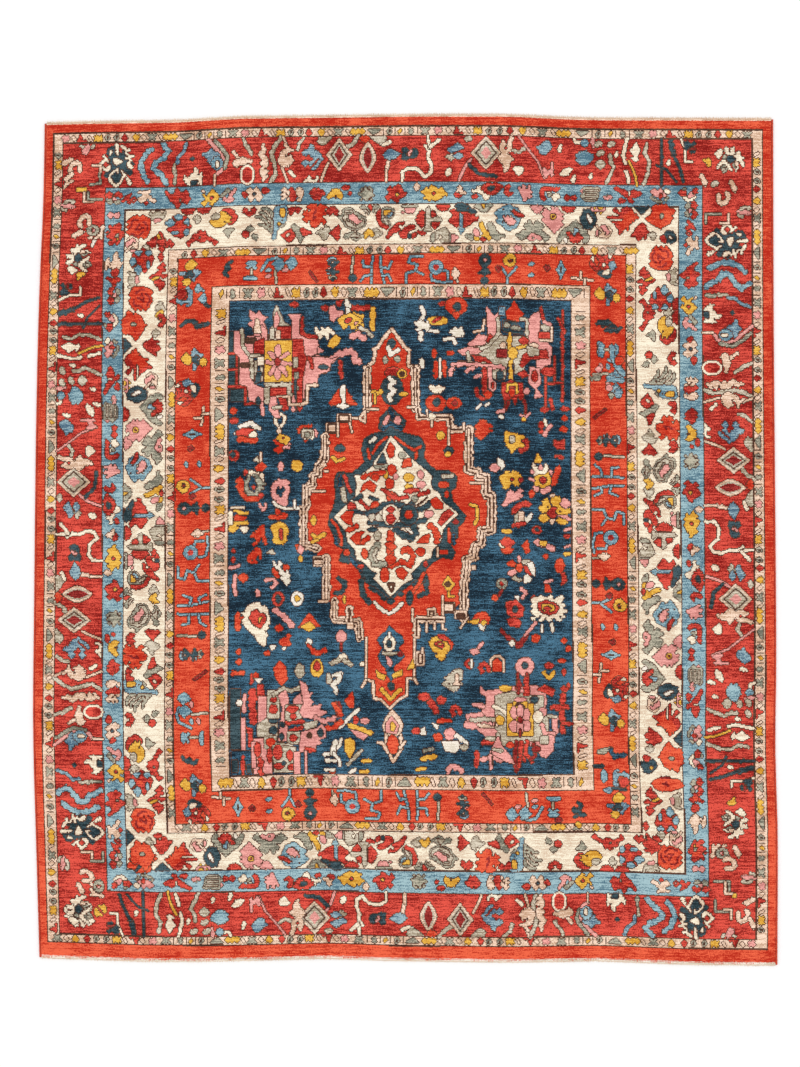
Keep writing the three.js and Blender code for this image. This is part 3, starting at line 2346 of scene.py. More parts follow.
FRAME_OF_DIAMOND = """
fill n - 354,290 362,297 369,303 367,311 362,314 372,317 384,320 388,328 387,340 392,347 400,353 412,353
  420,358 419,370 414,373 416,383 422,390 429,397 427,404 421,410 421,420 414,427 418,434 416,441
  406,439 398,443 390,450 385,460 376,465 366,472 354,484 344,474 334,468 326,462 322,450 318,444
  312,446 303,444 304,438 308,432 300,428 297,418 292,408 293,398 297,390 299,380 298,362 301,355
  315,356 320,352 328,345 325,333 327,322 335,317 347,314 342,312 343,301 348,296
line f 5 347,311 354,306 364,311
line f 4 353,293 355,299
line s 4 352,299 348,305
oval s 7x8 361,303
line o 2.4 331,332 333,341
line o 2.4 336,336 341,327 350,320
line w 3 333,325 338,321
line o 2.4 358,320 369,328 378,333 384,329
line o 2.4 380,335 379,341
line f 4 304,360 303,368
line r 3 308,359 311,367 314,375
line a 4 306,372 308,383
line a 4 407,358 415,358
oval o 11x6 407,367
oval o 4x8 410,377
line o 2.6 295,403 301,410 305,421 305,428
line f 3 299,420 300,427
line o 2.6 412,411 413,424
oval m 5x5 419,404
line f 3 417,417 417,426
oval o 6x7 310,435
line f 3.4 314,440 318,446 324,452
box o 10x4 406,434
line p 2 401,430 401,438
oval r 5x5 324,449
oval r 4x6 389,446
fill c - 354,318 366,332 378,344 388,352 395,358 394,366 396,372 402,375 406,384 414,390 422,396 412,404
  406,412 404,424 396,431 394,440 386,442 380,450 374,456 376,461 366,466 354,479 346,469 337,461
  341,455 334,452 327,444 320,442 319,433 311,424 310,416 306,410 298,400 306,392 314,384 319,378
  320,366 318,358 324,358 336,349 338,344 347,332
oval o 7x15 354,333
fill n - 346,335 350,346 340,346
line g 4 340,349 350,349
oval o 9x12 355,353
oval y 4x9 349,357
oval s 5x6 359,359
line o 4 326,360 333,357 346,355
oval o 7x7 339,360
fill o - 324,375 326,367 333,363 340,368 337,375 330,371
oval o 9x10 353,366
oval o 11x10 355,379
line r 4 346,372 352,377 362,381 370,379
line n 4 319,382 324,379
line n 3 333,380 341,382
line r 3 324,384 330,390 337,391
oval o 8x8 338,388
oval r 9x7 315,389
line n 4 318,394 329,396 334,395
fill o - 304,400 310,394 317,394 315,402 316,408 309,406
line n 5 330,396 340,393 346,388 354,386 364,387 370,389 376,386
line n 5 333,405 346,406 362,407 378,405 388,402
line n 5 378,393 386,391 393,386
oval a 6x7 335,400 342,400
oval n 18x20 372,397
oval o 7x9 372,397
oval c 17x20 354,397
oval r 7x6 354,392
oval r 9x9 354,401
oval s 9x7 392,396
fill o - 394,382 400,379 406,386 406,391 398,391 395,387
fill r - 401,405 406,395 413,391 417,396 411,402 405,408
oval y 11x8 372,360
oval y 9x5 372,369
oval s 6x8 384,357
oval s 9x7 384,367
line r 4 370,374 380,372
line r 3.4 382,377 392,374
oval g 6x7 378,381
line k 1.2 380,388 386,384 391,379
fill o - 365,350 367,342 374,341 375,349
oval g 7x6 365,338
oval n 9x5 336,412
oval a 7x9 341,418
line o 4 312,413 320,409
fill o - 314,421 319,415 328,414 324,419 325,427 320,427
line o 4 326,425 332,420
line g 6.5 341,428 335,436 338,446 347,446
line a 2.4 340,431 337,438 340,444
oval o 6x10 328,436
line o 6 354,416 354,448
fill o - 348,426 354,424 361,429 355,433
fill o - 348,440 354,436 360,440 355,452
line n 6 359,412 366,417 374,420 379,415 377,409
line w 2 370,411 375,415
line o 6 394,408 400,415 400,423
fill o - 380,425 386,418 393,416 392,425
oval o 9x8 384,434
line o 5 366,434 371,430 377,438 373,447 364,444
line o 3 361,446 355,449
oval o 9x14 348,457
fill o - 359,452 366,449 371,455 367,462 361,459
line k 1.2 351,466 355,474 358,466 351,466
line n 4.4 325,462 326,476 333,485
line n 4 334,470 341,474 349,481
line n 4 389,458 390,474 382,478
line n 4 378,466 386,462
line o 3 376,474 382,466 387,456
oval n 6x13 373,480
oval n 5x5 364,476
oval n 7x6 354,483
"""
LOWER_MEDALLION = """
line w 3.4 339,485 346,492 353,496 360,491 365,485
line n 4 302,461 309,466 306,474 299,476
oval y 3x8 308,482
oval n 10x7 303,331
line y 3 296,340 300,344 307,342
oval y 5x9 277,403
line y 4 276,417 280,422 287,417
line y 3 281,423 275,425
oval y 8x8 404,318
line y 3 434,387 440,388 441,400 438,406
oval n 9x8 412,333
oval y 5x5 411,337
fill y - 411,457 418,466 412,474 406,466
oval k 5x5 411,466
line y 2 412,474 412,478 417,478
fill f - 353,507 358,513 366,518 367,524 362,530 368,538 364,543 357,548 358,556 355,563 351,556 350,550
  345,545 342,538 346,530 341,522 344,517 350,513
oval c 11x17 353,525
oval n 5x8 353,526
line w 2.4 353,515 353,519
line a 3 347,535 361,535
line s 3.6 352,540 354,547
oval m 6x5 364,536
fill y - 340,551 344,555 350,557 348,562 341,559
fill y - 366,551 366,557 357,560 356,556
fill y - 377,540 378,550 371,551
oval n 6x8 355,568
line y 3.4 346,571 354,581 364,571
fill p - 356,591 363,597 367,605 366,613 361,618 350,617 347,608 350,599
fill s - 356,597 363,607 361,615 350,614 350,605
oval y 5x9 357,608
line p 2.6 350,616 351,628 355,639 357,643 365,631 365,616
oval o 11x19 357,626
line p 2.6 342,624 347,625 352,634
line p 2.6 364,629 369,623
"""

FLOWERS = charted("""
gold_wheel
.......yyyy
...yy.yyyyysss
..yyy.yyyyyssss
..yyy.yyyy.sssss
..yyyy.yyy.sssss
yyyy.y.rryyyss
yyyyyrrrryyyyyy
.yyyrrrryy.yyyyy
....rrrrryyyyyy
.yyyrrrrr.ssss
yyyyy.rr..yssss
yyyyy.pp.yyyy.ss
.yyy..pp.yyyyyy
......p...yyyy

white_wheel
....cc...cc...cc
.cccccccccc.cccc
ccccccrrrccccccc
.ccrrrrrrrrrccc
.ccrryyyyyyrrcccc
cccrryyrryyyrrccc
.ccrryrrrryyrrcc
ccccrryrryyrrccccc
cccccrrrrrrrrcccc
.cccccccrrcccccc
..cc.ccccccccc.cc
cc...cc.ccc.ccc
....cc..cc...cc

small_wheel
......cccc
....cccccc
...cccccccccc
...ccccrrccccc
..cccrrrrccccc
.ccccrrrrrrrcc
..cccrrrrrrrrc
ooccrrrrryyrrcc
.ccccrrrryrrrcc
.ccccrrrryrrrcc
..ccccrrrrrrccc
..cccccrrrrccc
...ccccccrrccc
....cccccccccc
.....ccccccc
......ccccccc
.......ccccccc
........ccccc
........ccccc
.........cccc
..........ccc
...........cc

gold_star
.....yy
..yyyyyyy
.yyyrrryyyy
yyyrrrryyyyy
yyyrrryyssyy
.yyyyyyysyy
..yyy.yyyy
..yy...yy

bird
c..c..c
cc.ccccc
cccccccccc
.cccccc.cc
..cc.cc
..c...c

comb
.ccccccc
..yyy
cc.yyyy
cc...yyyyy
cc.ooo
cc.oooooo
cc.ooooo
cc.yyyyyy
cc.yyyyyyy
.yyy
yyyyy.cccc
yyyy..cccc
.yy....cc

tree
......ww
......ww
....owwwo
....owwwo
...oowwwoo
..ooowwwooo
..oooowwooo
.ooooowwoooo
oooooowwooooo
oooo..ww..oooo
....wwwwww
......ww

antler
w..w
ww.ww
.www
..ww
..oww
...www.w
....wwww
.....wwww
....wwww
.....wwww
......www
......ww

winged
.....oo
....ooo
...oooo
..ooooo
.oooooo
ooooooo
..ooo.oo
...oo.oo
..oo...o
.oo....o

tulip
....oo.
...ooo
.oooo
ooooo
oooooo
.ooooo
..ww
..w

rose_wheel
..ssssss
.ssssssss
ssssssss
sss.s.sss
ss.....ss
ss.....ss
ss....sss
sss...ss
ssss.sss
.sssssss
..ssssss
...sssss
.....sss

grey_house
......aaaa
.....aaaaa
...aaappaa
...aaappaa
.aaaaappaa
..aaaappa
.aaaaappa
aaa.appppa
.aaaaaaaa
...aaaaa
....aaa

gold_ring
....rrrr
..yyrrrro
.yyyyyrroo
yyyrrryyyoo
yyrryyryyroo
yyyrrrryyyoo
.yyyyrryyyo
.yyyyyyyyyo
..yyyyyyy
....yyyy
...yyyyy
....yyyy
.....yy

mixed_ring
....rr
....rrcccc
....r..cggg.cc
......g..gg.cc
.oo...g...ggcc
oooo.gg...ggg
.ooogg....ggg
.ooogg.....gggg
oooogg..rr.gg
.ooogg..rr.ggg
.ooo.gg...gg
..oo.gggg.gg
..ooo.ggggg.rr
...ooooooorrrr
....ooooooorr
.....ooooooo

square_ring
.oooooo
oo
o.aaaaa.s
o.agggacss
..agggacss
..agggacs
..ccaacc
...oo

claw_ring
...yyyy
..yyyoyyy
.oyyyyyyy
.oo.yyyy
..ooooyys
...oooss
..ooossss
.ooooo
..ooo

white_crown
cc..cc
cccccccc
.cccccc
..cccc

star
..w..w
.wwwww
wwwwwww
.wwwwww
..wwww

cup
wwwww.w..
wwwwwww
.wwwwwww
..wwwwww
.ww...w

crescent
.rrr
rrrrr
rr..rr
rr..rr
.rr.rr
.r

vee
s..s
ss.s
.sss
..s

red_hook
....oo
...oooo
..ooooo
.oooooo
ooooo.o
oooo..o
oo.o
.oooo

blot
.ooo
ooooo
ooooo
.ooo

gold_beast
...yy.yyy
..yyyyyyyy
yyyyyyyyyyy
yyyyyrryyrrm
yyyyyrryyrrm
.yyyyyyyyyr
.yyyy..yyy
..yyy
..yy

petal_wheel
..c.....c
..cc.ss.cc....oo
..cc.ss.cc...ooo
.s.cccccc.ss.ooo
.ssccccccyss.ooo
..ccyyyyyy..ooo
...yyyrryyy.ooo
ss.yyrrrryyooo
.ssyyrrrryyooo
...yyyrryyyooo
...yyyyyyy.oo
..sss.yy.ss
..sss.sssss
...ss.sssss
......sss

pink_beast
........ss.
...ss..sss
..sssssss
..ssssssss
..sssssss
.sssssss
.ssss
sss
ss

red_crab
..oooo
.rrrrrr
.rrrrrrr
crrrrrr
.ccrrr
.oooooo
.oooooo
..oooo

red_stag
...oo
..oooo
.ooooooo
ooooooooo
.oooooo
.oooooooo
ooooooo
oooooo
.oooo
..oo

gold_eye
yy
yyyyyy
yyaaayyyyy
yyaaayyyyyr
yyaaayyyrrrr
yyaaayyyyrrr
.yyyyyyyyyrr
.yyyyyyyyyrr
..yyyy.rrrrr
...yy..rrrr
...y...rrs

gold_oval
...yyy
.yyyyyy
yyyyyyyy
yyyyrryyy
.yyyrryyy
.yyyrryyy
..yyrryy
..yyrryy
.yyyyryy
.yyyyyyy
..yyyyy
""")
SCATTER = table("""
motif       u   v
bird        287 216
gold_star   312 204
tree        306 280
comb        202 401
mixed_ring  214 367
square_ring 271 316
claw_ring   244 326
winged      222 417
antler      245 455
small_wheel 219 506
gold_wheel  518 391
gold_eye    480 324
petal_wheel 508 360
gold_beast  475 362
pink_beast  477 379
red_crab    470 427
red_stag    447 312
white_crown 400 272
star        420 215
cup         386 209
red_hook    218 437
gold_oval   243 415
tulip       250 524
rose_wheel  244 375
vee         226 389
blot        207 459
white_wheel 512 489
gold_ring   405 529
grey_house  416 561
crescent    448 549
crescent    420 592
""")
UPPER_FIELD = """
oval r 9x5 256,187 287,191
line r 5 314,191 330,191
fill s - 291,190 296,188 299,194 305,194 306,200 299,200 296,205 292,203
fill r - 298,184 305,183 302,190 298,188
line w 4 308,184 311,190
line w 4 310,193 310,199
line y 4 316,198 323,199 323,210 320,216
line s 5 314,220 321,217 326,221
line a 3 323,211 330,214 334,219
fill y - 298,218 303,221 301,227 295,231 290,229 293,222
line y 5 335,192 335,212
line r 3.6 303,245 304,260
line s 6 280,241 292,244 302,237 313,234 317,238 317,244 322,245
oval s 14x12 286,250
oval n 9x5 286,250
oval r 8x6 197,302
oval o 7x7 196,292
line w 4 203,309 214,305 222,311
line w 3 198,315 203,312
oval r 20x10 209,315
oval c 7x7 216,317
line o 5 202,321 218,322
line c 2.6 238,299 239,306 243,310 247,305 248,299 243,296 238,299
line p 3 242,310 242,314
oval r 11x11 197,337
oval n 5x5 196,336
fill a - 216,342 221,338 222,344
line p 2 224,335 224,345
fill o - 218,349 225,344 230,348 226,353 220,353
fill c - 214,353 222,354 221,360 216,358
line c 3 225,356 226,362
oval s 5x9 244,349
oval y 11x11 260,348
line w 2.6 237,384 240,388 250,391 262,391
line w 2 258,383 258,390
line o 5 234,399 248,398
oval o 5x7 241,394
oval r 4x5 197,432 197,441
line s 3 194,449 203,447
fill a - 229,435 236,431 239,436
fill o - 259,427 264,427 262,436
fill s - 263,427 268,431 265,437 261,434
oval y 4x6 264,441
oval o 6x7 250,450
line o 3.6 237,451 241,458
line s 3 230,462 237,461 240,465 236,469
line s 3 199,456 198,468 200,476
oval s 5x8 222,475
fill r - 401,186 410,184 412,188 402,189
oval o 22x17 419,189
oval n 7x8 420,190
oval o 7x7 419,198
oval y 20x9 400,204
line r 3 396,205 403,201
line w 3.6 384,191 387,198 383,204
line w 4 383,216 384,222
line w 3 390,213 400,215
line w 3 407,223 416,221 418,226
oval o 5x9 397,237
oval o 8x5 413,236
line o 4 399,246 399,259
line w 2.6 403,242 403,260
line o 4 407,246 408,259
line w 4 384,244 386,249
line s 4 413,257 417,248 425,246 432,247
oval o 20x17 399,286
oval n 7x8 400,285
oval o 15x11 417,286
oval m 5x5 418,286
oval c 7x6 395,299
oval r 9x8 500,411
oval n 3x3 500,411
line y 3.4 466,413 473,413
oval o 5x8 495,375
fill r - 475,391 481,385 489,382 495,385 493,388 486,388 480,394 475,396
fill w - 487,397 490,399 494,394 496,395 494,401 491,404 487,402
fill a - 478,397 481,395 481,404 478,404
fill p - 482,393 487,393 487,404 482,403
line r 4 477,407 487,405
oval p 5x4 516,377
line s 3 528,411 533,409
fill o - 491,421 492,427 493,433 489,435 487,429 484,427 488,424
fill s - 496,423 501,420 506,423 512,425 518,427 518,432 514,432 508,428 501,427
oval y 8x5 507,424
oval o 5x5 509,437
line s 2 528,428 533,426
line y 3 528,435 533,434
oval r 6x4 530,417
fill o - 470,444 476,441 479,444 478,448 471,447
fill o - 480,445 484,444 486,448 484,453 479,452
fill r - 487,447 491,447 496,456 492,456 488,452
fill s - 471,453 478,450 480,454 475,457 471,456
line s 3 482,438 483,442
line a 4 487,443 492,443
fill w - 490,444 496,443 498,450 498,457 495,455 492,449
fill w - 487,457 491,455 495,459 493,463 487,464
line a 4 477,459 482,461
fill o - 520,440 525,439 528,446 525,454 519,452 518,446
line r 3.4 526,455 528,460 526,464
fill w - 461,340 467,343 468,349 464,352 461,346
oval s 9x8 458,350
line r 4 505,305 505,313
line c 3 508,302 510,307
line s 3.6 514,307 511,311 508,316
oval o 6x5 528,299
oval o 8x6 527,310
fill r - 517,321 523,322 528,320 528,330 521,330 517,327
line r 3.4 520,337 526,338
fill y - 501,334 505,341 504,344 498,344 499,339
"""
LOWER_FIELD = """
oval r 11x15 242,481
oval n 5x8 242,481
oval w 12x14 261,481
oval y 5x6 261,481
line o 5 202,496 202,510
line y 3 219,502 225,502
line s 5 239,492 247,498 256,508
oval o 8x7 243,510
fill o - 262,510 273,495 284,509
fill y - 264,509 274,504 280,510 273,514
fill w - 234,527 240,527 239,531 235,532
oval o 6x5 231,535
oval o 5x6 203,533 203,543
oval w 6x7 273,525
line o 4 273,528 277,534 283,536 289,533
oval a 9x14 264,553
oval y 12x18 281,551
oval r 6x9 281,549
fill o - 244,542 250,548 252,562 246,568 240,560 238,550
line o 4 197,554 207,554
oval o 7x6 220,557
fill w - 219,560 227,560 224,565
oval o 5x8 225,573
oval s 10x12 305,519
line m 2.4 305,526 305,533
oval c 9x8 307,540
line a 4 296,546 302,543
line a 4 309,543 315,547
oval c 4x5 326,546
line w 4 297,558 304,556 303,563 297,567 301,574
line a 4 293,558 293,564
fill o - 309,583 313,578 317,574 318,582 318,590 314,590
oval m 6x15 303,592
line o 4 299,586 305,597
line w 3 323,591 316,598 308,606 304,610
line o 4 288,612 298,610 306,604
oval s 9x6 329,603
oval r 5x9 320,602
line y 4 314,607 322,610 335,615
fill s - 315,612 322,613 332,617 328,622 320,618
fill y - 309,622 314,620 319,623 319,631 314,641 309,633
line w 3 289,637 296,636 300,632 304,627 306,621
line w 4 296,636 300,624
line w 3 298,636 302,641 304,648
line w 3 290,643 300,643
line a 3 312,646 320,638 326,632
line y 3 326,643 334,642
oval o 6x3 296,654
line w 3 290,652 297,652
line w 3 314,654 319,652
line y 3 324,653 331,653
fill s - 463,461 469,463 467,468 462,467
oval g 10x10 465,465
oval r 4x4 465,465
oval o 6x6 458,479
line m 3 465,472 462,477
line s 3 508,463 515,461
fill o - 508,465 512,465 515,473 508,473
line s 3.4 485,470 489,473 485,479
fill w - 478,477 482,477 482,482 479,481
oval r 5x5 497,479
line w 3 505,506 505,512
line w 3 515,505 516,511
fill r - 469,483 480,481 487,488 486,497 477,499 470,495
oval n 5x6 478,490
fill r - 470,500 478,498 484,502 483,508 473,507
line m 4 465,512 472,519 482,527 490,516
oval w 6x5 475,524
line s 2.6 499,503 494,509 488,516
oval o 8x9 499,519
oval o 5x6 527,521 531,529
fill o - 436,500 440,494 449,493 453,499 452,505 445,506 440,503
line y 4 434,503 441,502
fill w - 442,505 449,506 447,512 443,510
oval y 5x5 447,504
fill s - 433,531 441,529 443,534 436,536
line s 3 442,529 446,524
oval r 9x10 433,545
oval g 4x5 434,545
line w 2.4 435,541 435,548
line p 2.4 454,552 454,541 458,537 463,537 467,541 467,552
fill o - 456,552 456,542 461,539 465,543 465,552
oval s 18x18 488,547
oval n 6x6 488,546
line m 2.6 481,554 481,570
line m 2.6 490,554 491,569
oval r 9x7 512,546
line y 3.4 507,553 512,559 517,553
oval o 7x5 525,541
oval r 4x7 527,552 531,567
oval r 12x8 388,578
oval r 9x8 405,581
line r 6 395,583 400,592
line o 4 402,602 414,602
fill w - 396,604 403,606 401,611
fill w - 383,611 389,608 390,616 385,616
oval r 8x6 380,612
oval o 10x8 402,618
oval s 11x11 414,615
fill w - 406,622 422,622 425,628 420,633 409,632
line w 4 421,617 431,624
oval a 8x6 428,628
line g 3 388,632 396,630
line y 4 387,640 398,637
line r 4 440,632 440,646
line s 4 446,640 456,637 464,641
line s 2.4 455,632 455,648
line s 4 411,652 414,648 421,648 425,652
line y 3 380,651 388,649
box p 5x5 437,449
"""

# Four rose-coloured clusters of steps, posts and squares fill the field's corners.
HEAD_LEFT_CLUSTER = """
box n 7x20 194,223
box n 8x14 195,243
box n 9x14 195,259
box n 14x12 200,277
line r 2.4 191,235 199,235 199,268
line r 2.4 191,251 199,251
line r 2.4 191,268 208,269 208,286 218,285
fill s - 196,213 202,213 203,230 212,240 214,262 220,268 226,270 226,285 217,284 212,282 210,268 202,266
  202,240 196,233
fill s - 209,218 226,218 226,236 213,236 206,230
fill s - 211,192 217,196 221,193 224,198 229,199 225,204 229,212 229,226 226,226 226,210 221,207 222,218
  216,218 215,210 209,206 214,203 211,198
fill s - 223,207 229,212 229,228 224,226
fill p - 217,201 220,201 223,215 216,215
fill r - 216,224 226,220 226,236 216,236
line k 1.2 208,221 218,221
line k 1.2 208,224 216,224
line a 3 204,212 204,226 207,232 213,238 215,259
line a 3 214,238 222,238
box c 6x9 223,243
line a 2 218,244 218,262
line a 2 224,250 224,262
line k 1.2 203,246 212,246
line k 1.2 203,248 212,248
fill a - 238,187 243,198 246,205 252,208 253,222 231,222 232,210 236,208 235,196
fill s - 238,193 241,200 240,210 236,210 236,200
box r 14x13 246,215
box p 5x8 240,217
box a 4x10 234,216
fill s - 250,197 263,197 261,203 262,218 270,219 280,223 281,230 287,234 275,238 271,240 285,240 295,242
  301,240 293,246 292,254 281,257 280,266 268,268 266,286 262,286 262,240 254,222 254,203
line r 3 264,201 264,216 270,219 279,220
fill s - 280,230 287,234 280,236
line r 3.4 268,241 273,242 275,250
oval n 9x5 286,250
fill r - 254,222 265,222 266,235 269,240 265,262 265,292 262,294 254,270
box a 5x10 258,245
box g 4x6 259,258
box g 4x5 259,271
line n 2 258,263 258,293
line s 3 256,279 256,292
line p 2.6 280,268 270,268 270,285 262,288
box y 28x42 240.5,243.5
oval s 6x13 240,233 240,256
line s 4 232,235 236,240
line s 4 249,236 244,240
line s 4 229,244 237,246
line s 4 252,246 243,246
line s 4 233,255 237,249
line s 4 249,257 243,249
oval m 5x9 240,244
line a 5 230,268 230,284
line a 4 229,267 252,267 252,284
fill r - 233,270 249,270 249,277 244,279 233,278
line p 1.8 240,279 252,279 252,287 262,287
fill s - 233,279 239,279 240,290 243,300 238,300 232,292
fill r - 241,280 249,281 251,292 246,293
line a 3 236,290 243,289
line s 3 224,285 226,297
fill n - 219,254 224,254 223,263 217,266
oval n 4x8 221,283
"""
HEAD_RIGHT_CLUSTER = """
fill o - 477,183 481,190 487,196 482,204 470,202 469,194 474,190
box u 6x8 465,194
fill n - 466,203 478,205 488,214 486,217 466,214
oval g 5x5 470,208
line g 3 476,210 482,211
fill a - 458,218 474,219 490,219 502,223 504,236 490,242 482,244 488,249 484,257 478,256 478,246 470,246
  468,262 458,262 450,252 452,244 444,238 430,232 448,228
fill s - 449,189 453,194 458,199 461,196 462,202 459,205 459,218 452,224 445,228 432,229 431,226 438,222
  441,217 451,219 450,200
fill r - 453,216 456,219 453,226 449,224
fill s - 420,234 432,230 448,232 440,237 426,238
line p 2 447,203 446,213 437,215
line a 3 461,202 462,216 452,228 444,232
fill r - 435,238 448,240 456,246 440,246
line a 3 431,236 432,244 438,248 448,247
line s 4 416,247 432,247 466,250
line s 4 436,251 430,254
box m 10x8 465,236
fill s - 492,202 496,196 504,193 503,212 508,222 515,228 514,246 508,247 508,250 500,252 500,240 492,238
  492,220
line a 3 484,201 490,202 490,216
line y 4 473,217 473,232
oval y 9x12 476,236
line y 3.4 474,244 474,268
fill y - 478,230 490,226 490,229 482,232
oval r 9x7 487,223
fill r - 487,236 510,231 512,240 494,241 486,250 483,248
oval p 6x6 466,228
oval p 9x6 497,228
fill a - 490,228 502,231 502,237 492,238
oval a 9x7 509,209
line s 3 508,204 514,206
box r 12x7 508,217
line p 2.4 515,209 515,222 504,222
line r 3 504,190 506,200
line r 2.6 526,192 526,282
line r 3 522,200 528,214
line r 2.2 518,238 518,264
line r 2.2 510,265 526,264
line r 2.2 509,252 509,292
oval r 15x9 512,253
fill s - 493,249 503,250 504,266 500,270 506,278 498,280 499,272 492,264
oval r 6x11 498,258
fill r - 480,256 488,252 492,258 486,260
line s 3 438,260 444,258
oval n 7x10 463,258
line r 4.4 448,251 448,276
line r 3.4 440,272 441,278 446,282 454,277
oval o 8x8 451,277
fill s - 451,250 455,250 455,262 459,265 459,271 456,275 452,270
line r 2 456,266 456,270
fill r - 465,265 470,265 474,262 480,265 486,265 487,281 483,282 481,277 479,288 476,281 473,281 472,289
  468,293 468,283 465,275
line y 2.6 471,274 471,267 480,267 480,275
oval o 6x8 475,275
line m 3 472,284 469,292
line m 2.6 487,282 489,288 489,295
line s 2 484,297 489,299 493,295
oval y 4x4 487,301
line s 3 461,294 467,293
oval w 5x4 465,299
line w 2.4 440,291 444,287
line w 2.4 449,288 452,286
oval s 6x6 490,273
oval r 9x5 508,291 528,290
line r 3 514,281 516,290
"""
FOOT_LEFT_CLUSTER = """
box n 11x60 200,600
box f 21x24 206,644
box n 6x12 199,647
box n 5x9 213,650
line r 3 207,638 207,655
line s 3.4 209,576 209,592
oval w 6x7 204,584
line r 7 217,573 218,602
fill r - 222,566 228,566 229,578 222,578
line r 3 216,556 216,564
box s 8x26 227,591
box s 5x32 208,615
fill r - 211,608 217,610 217,628 213,628 213,616
fill s - 218,620 230,620 236,634 236,655 218,655
box s 4x26 218,636
oval r 6x15 222,631
line r 4 225,641 225,655
fill a - 222,606 231,600 242,599 242,618 222,618
oval n 9x9 238,601
oval n 8x8 238,612
box a 13x28 238,586
oval r 7x6 238,581
oval r 8x9 238,591
box a 13x12 235,624
oval o 9x9 235,624
line a 4 238,576 248,570 254,573 262,571 267,568
fill s - 243,577 250,572 253,580 252,623 243,623 247,590
oval n 4x6 247,606
oval n 4x7 246,618
box a 16x18 258,596
oval r 12x7 257,591
oval r 6x6 258,599
line r 3.4 252,605 267,604
line r 3.4 255,613 266,610
box a 12x12 258,620
oval r 7x7 258,620
fill s - 258,581 265,576 267,586 258,586
fill s - 264,563 271,567 273,576 277,575 274,580 278,584 275,589 286,587 284,592 292,595 286,598 280,601
  268,600 264,594 268,586
line s 4.4 281,601 290,604 298,601
fill a - 268,606 282,603 281,609 270,612
fill s - 266,614 282,611 286,606 290,612 290,620 283,622 286,626 280,628 280,634 264,634 264,628
oval n 5x8 285,615
oval k 5x5 274,618
line a 3 243,626 252,627 258,630
fill a - 237,627 260,629 261,654 238,654
oval r 9x15 242,634
oval r 6x11 254,637
oval r 10x6 243,648
oval r 6x6 255,649
oval n 4x4 248,645
oval r 5x15 234,637
line r 4 270,632 278,632
box s 6x22 261,645
line s 2 270,634 270,655
"""
FOOT_RIGHT_CLUSTER = """
fill s - 444,566 448,572 462,570 466,568 500,566 508,570 510,580 508,600 458,612 457,602 444,598 446,590
  440,587 438,584 450,585 450,577 444,574
fill a - 459,576 476,572 497,576 507,576 507,592 512,598 512,612 504,616 504,623 466,626 459,614
line s 4 437,585 446,587
line s 7 431,606 440,606 452,603
fill s - 430,595 446,593 450,597 438,601 431,602
line a 4 436,600 460,600
line p 4 444,606 456,609
fill s - 440,609 458,609 462,612 462,617 450,617
line c 3 458,587 466,590 470,594
line p 2 461,596 461,606
box y 26x33 484,600
box y 14x6 484,585
line k 1.4 478,587 482,584 488,587
oval s 7x12 478,593 490,595
oval s 9x11 478,606 490,606
oval s 6x13 484,592 484,608
oval m 5x6 484,600
oval y 12x6 469,569
oval y 8x9 464,601
oval s 9x8 506,592
oval n 8x7 498,580
oval s 12x4 484,580
fill r - 500,570 508,565 518,570 516,577 508,573
line m 4 482,562 482,572
line r 5 490,560 490,574
oval c 9x12 502,597
line s 5 519,598 519,611
line s 4 506,606 508,614 517,614
fill s - 512,614 518,616 517,630 510,638 504,636 502,628 494,626 494,622 508,622
box a 8x9 508,620
line m 1.6 484,610 484,616
line m 4 480,622 479,636 480,650
line r 3.4 485,622 484,634 488,640
line r 3.4 491,622 489,634 496,642
line m 3 497,624 499,636 494,640
line r 3 484,636 482,646
oval o 8x6 474,625
oval m 9x6 500,629
line r 5 447,623 459,622
line a 3 450,619 458,619
line a 3 462,614 462,624
fill s - 456,628 462,616 466,626 474,636 478,644 470,642 456,634
line s 3 454,636 454,648
line a 3 458,630 466,631
line r 5 526,576 526,612
line r 4.4 516,588 530,587
line r 3 526,604 536,604
oval r 8x5 528,569
line a 2.6 512,596 520,597
"""
EXTRAS = """
line n 3.4 143,204 148,200 155,201 160,206 169,204
oval n 8x5 160,206
line g 4 563,632 574,629
line f 4 574,630 578,637 588,634
oval b 6x13 567,656
oval u 9x5 571,670
line n 2 575,668 588,669
line n 3 558,646 565,646
line n 4 562,204 574,203
line n 3.4 570,210 580,211 584,208
line b 5 565,226 565,236
line b 5 576,228 577,238 580,246 587,254
oval o 9x9 583,241
oval s 5x6 562,250
line b 5 572,259 586,260
line g 4 555,259 562,258
oval s 6x6 573,268
oval u 7x10 582,273
oval g 5x6 575,276
oval y 6x6 540,705
line n 4 536,690 545,695
oval m 8x5 520,700
"""
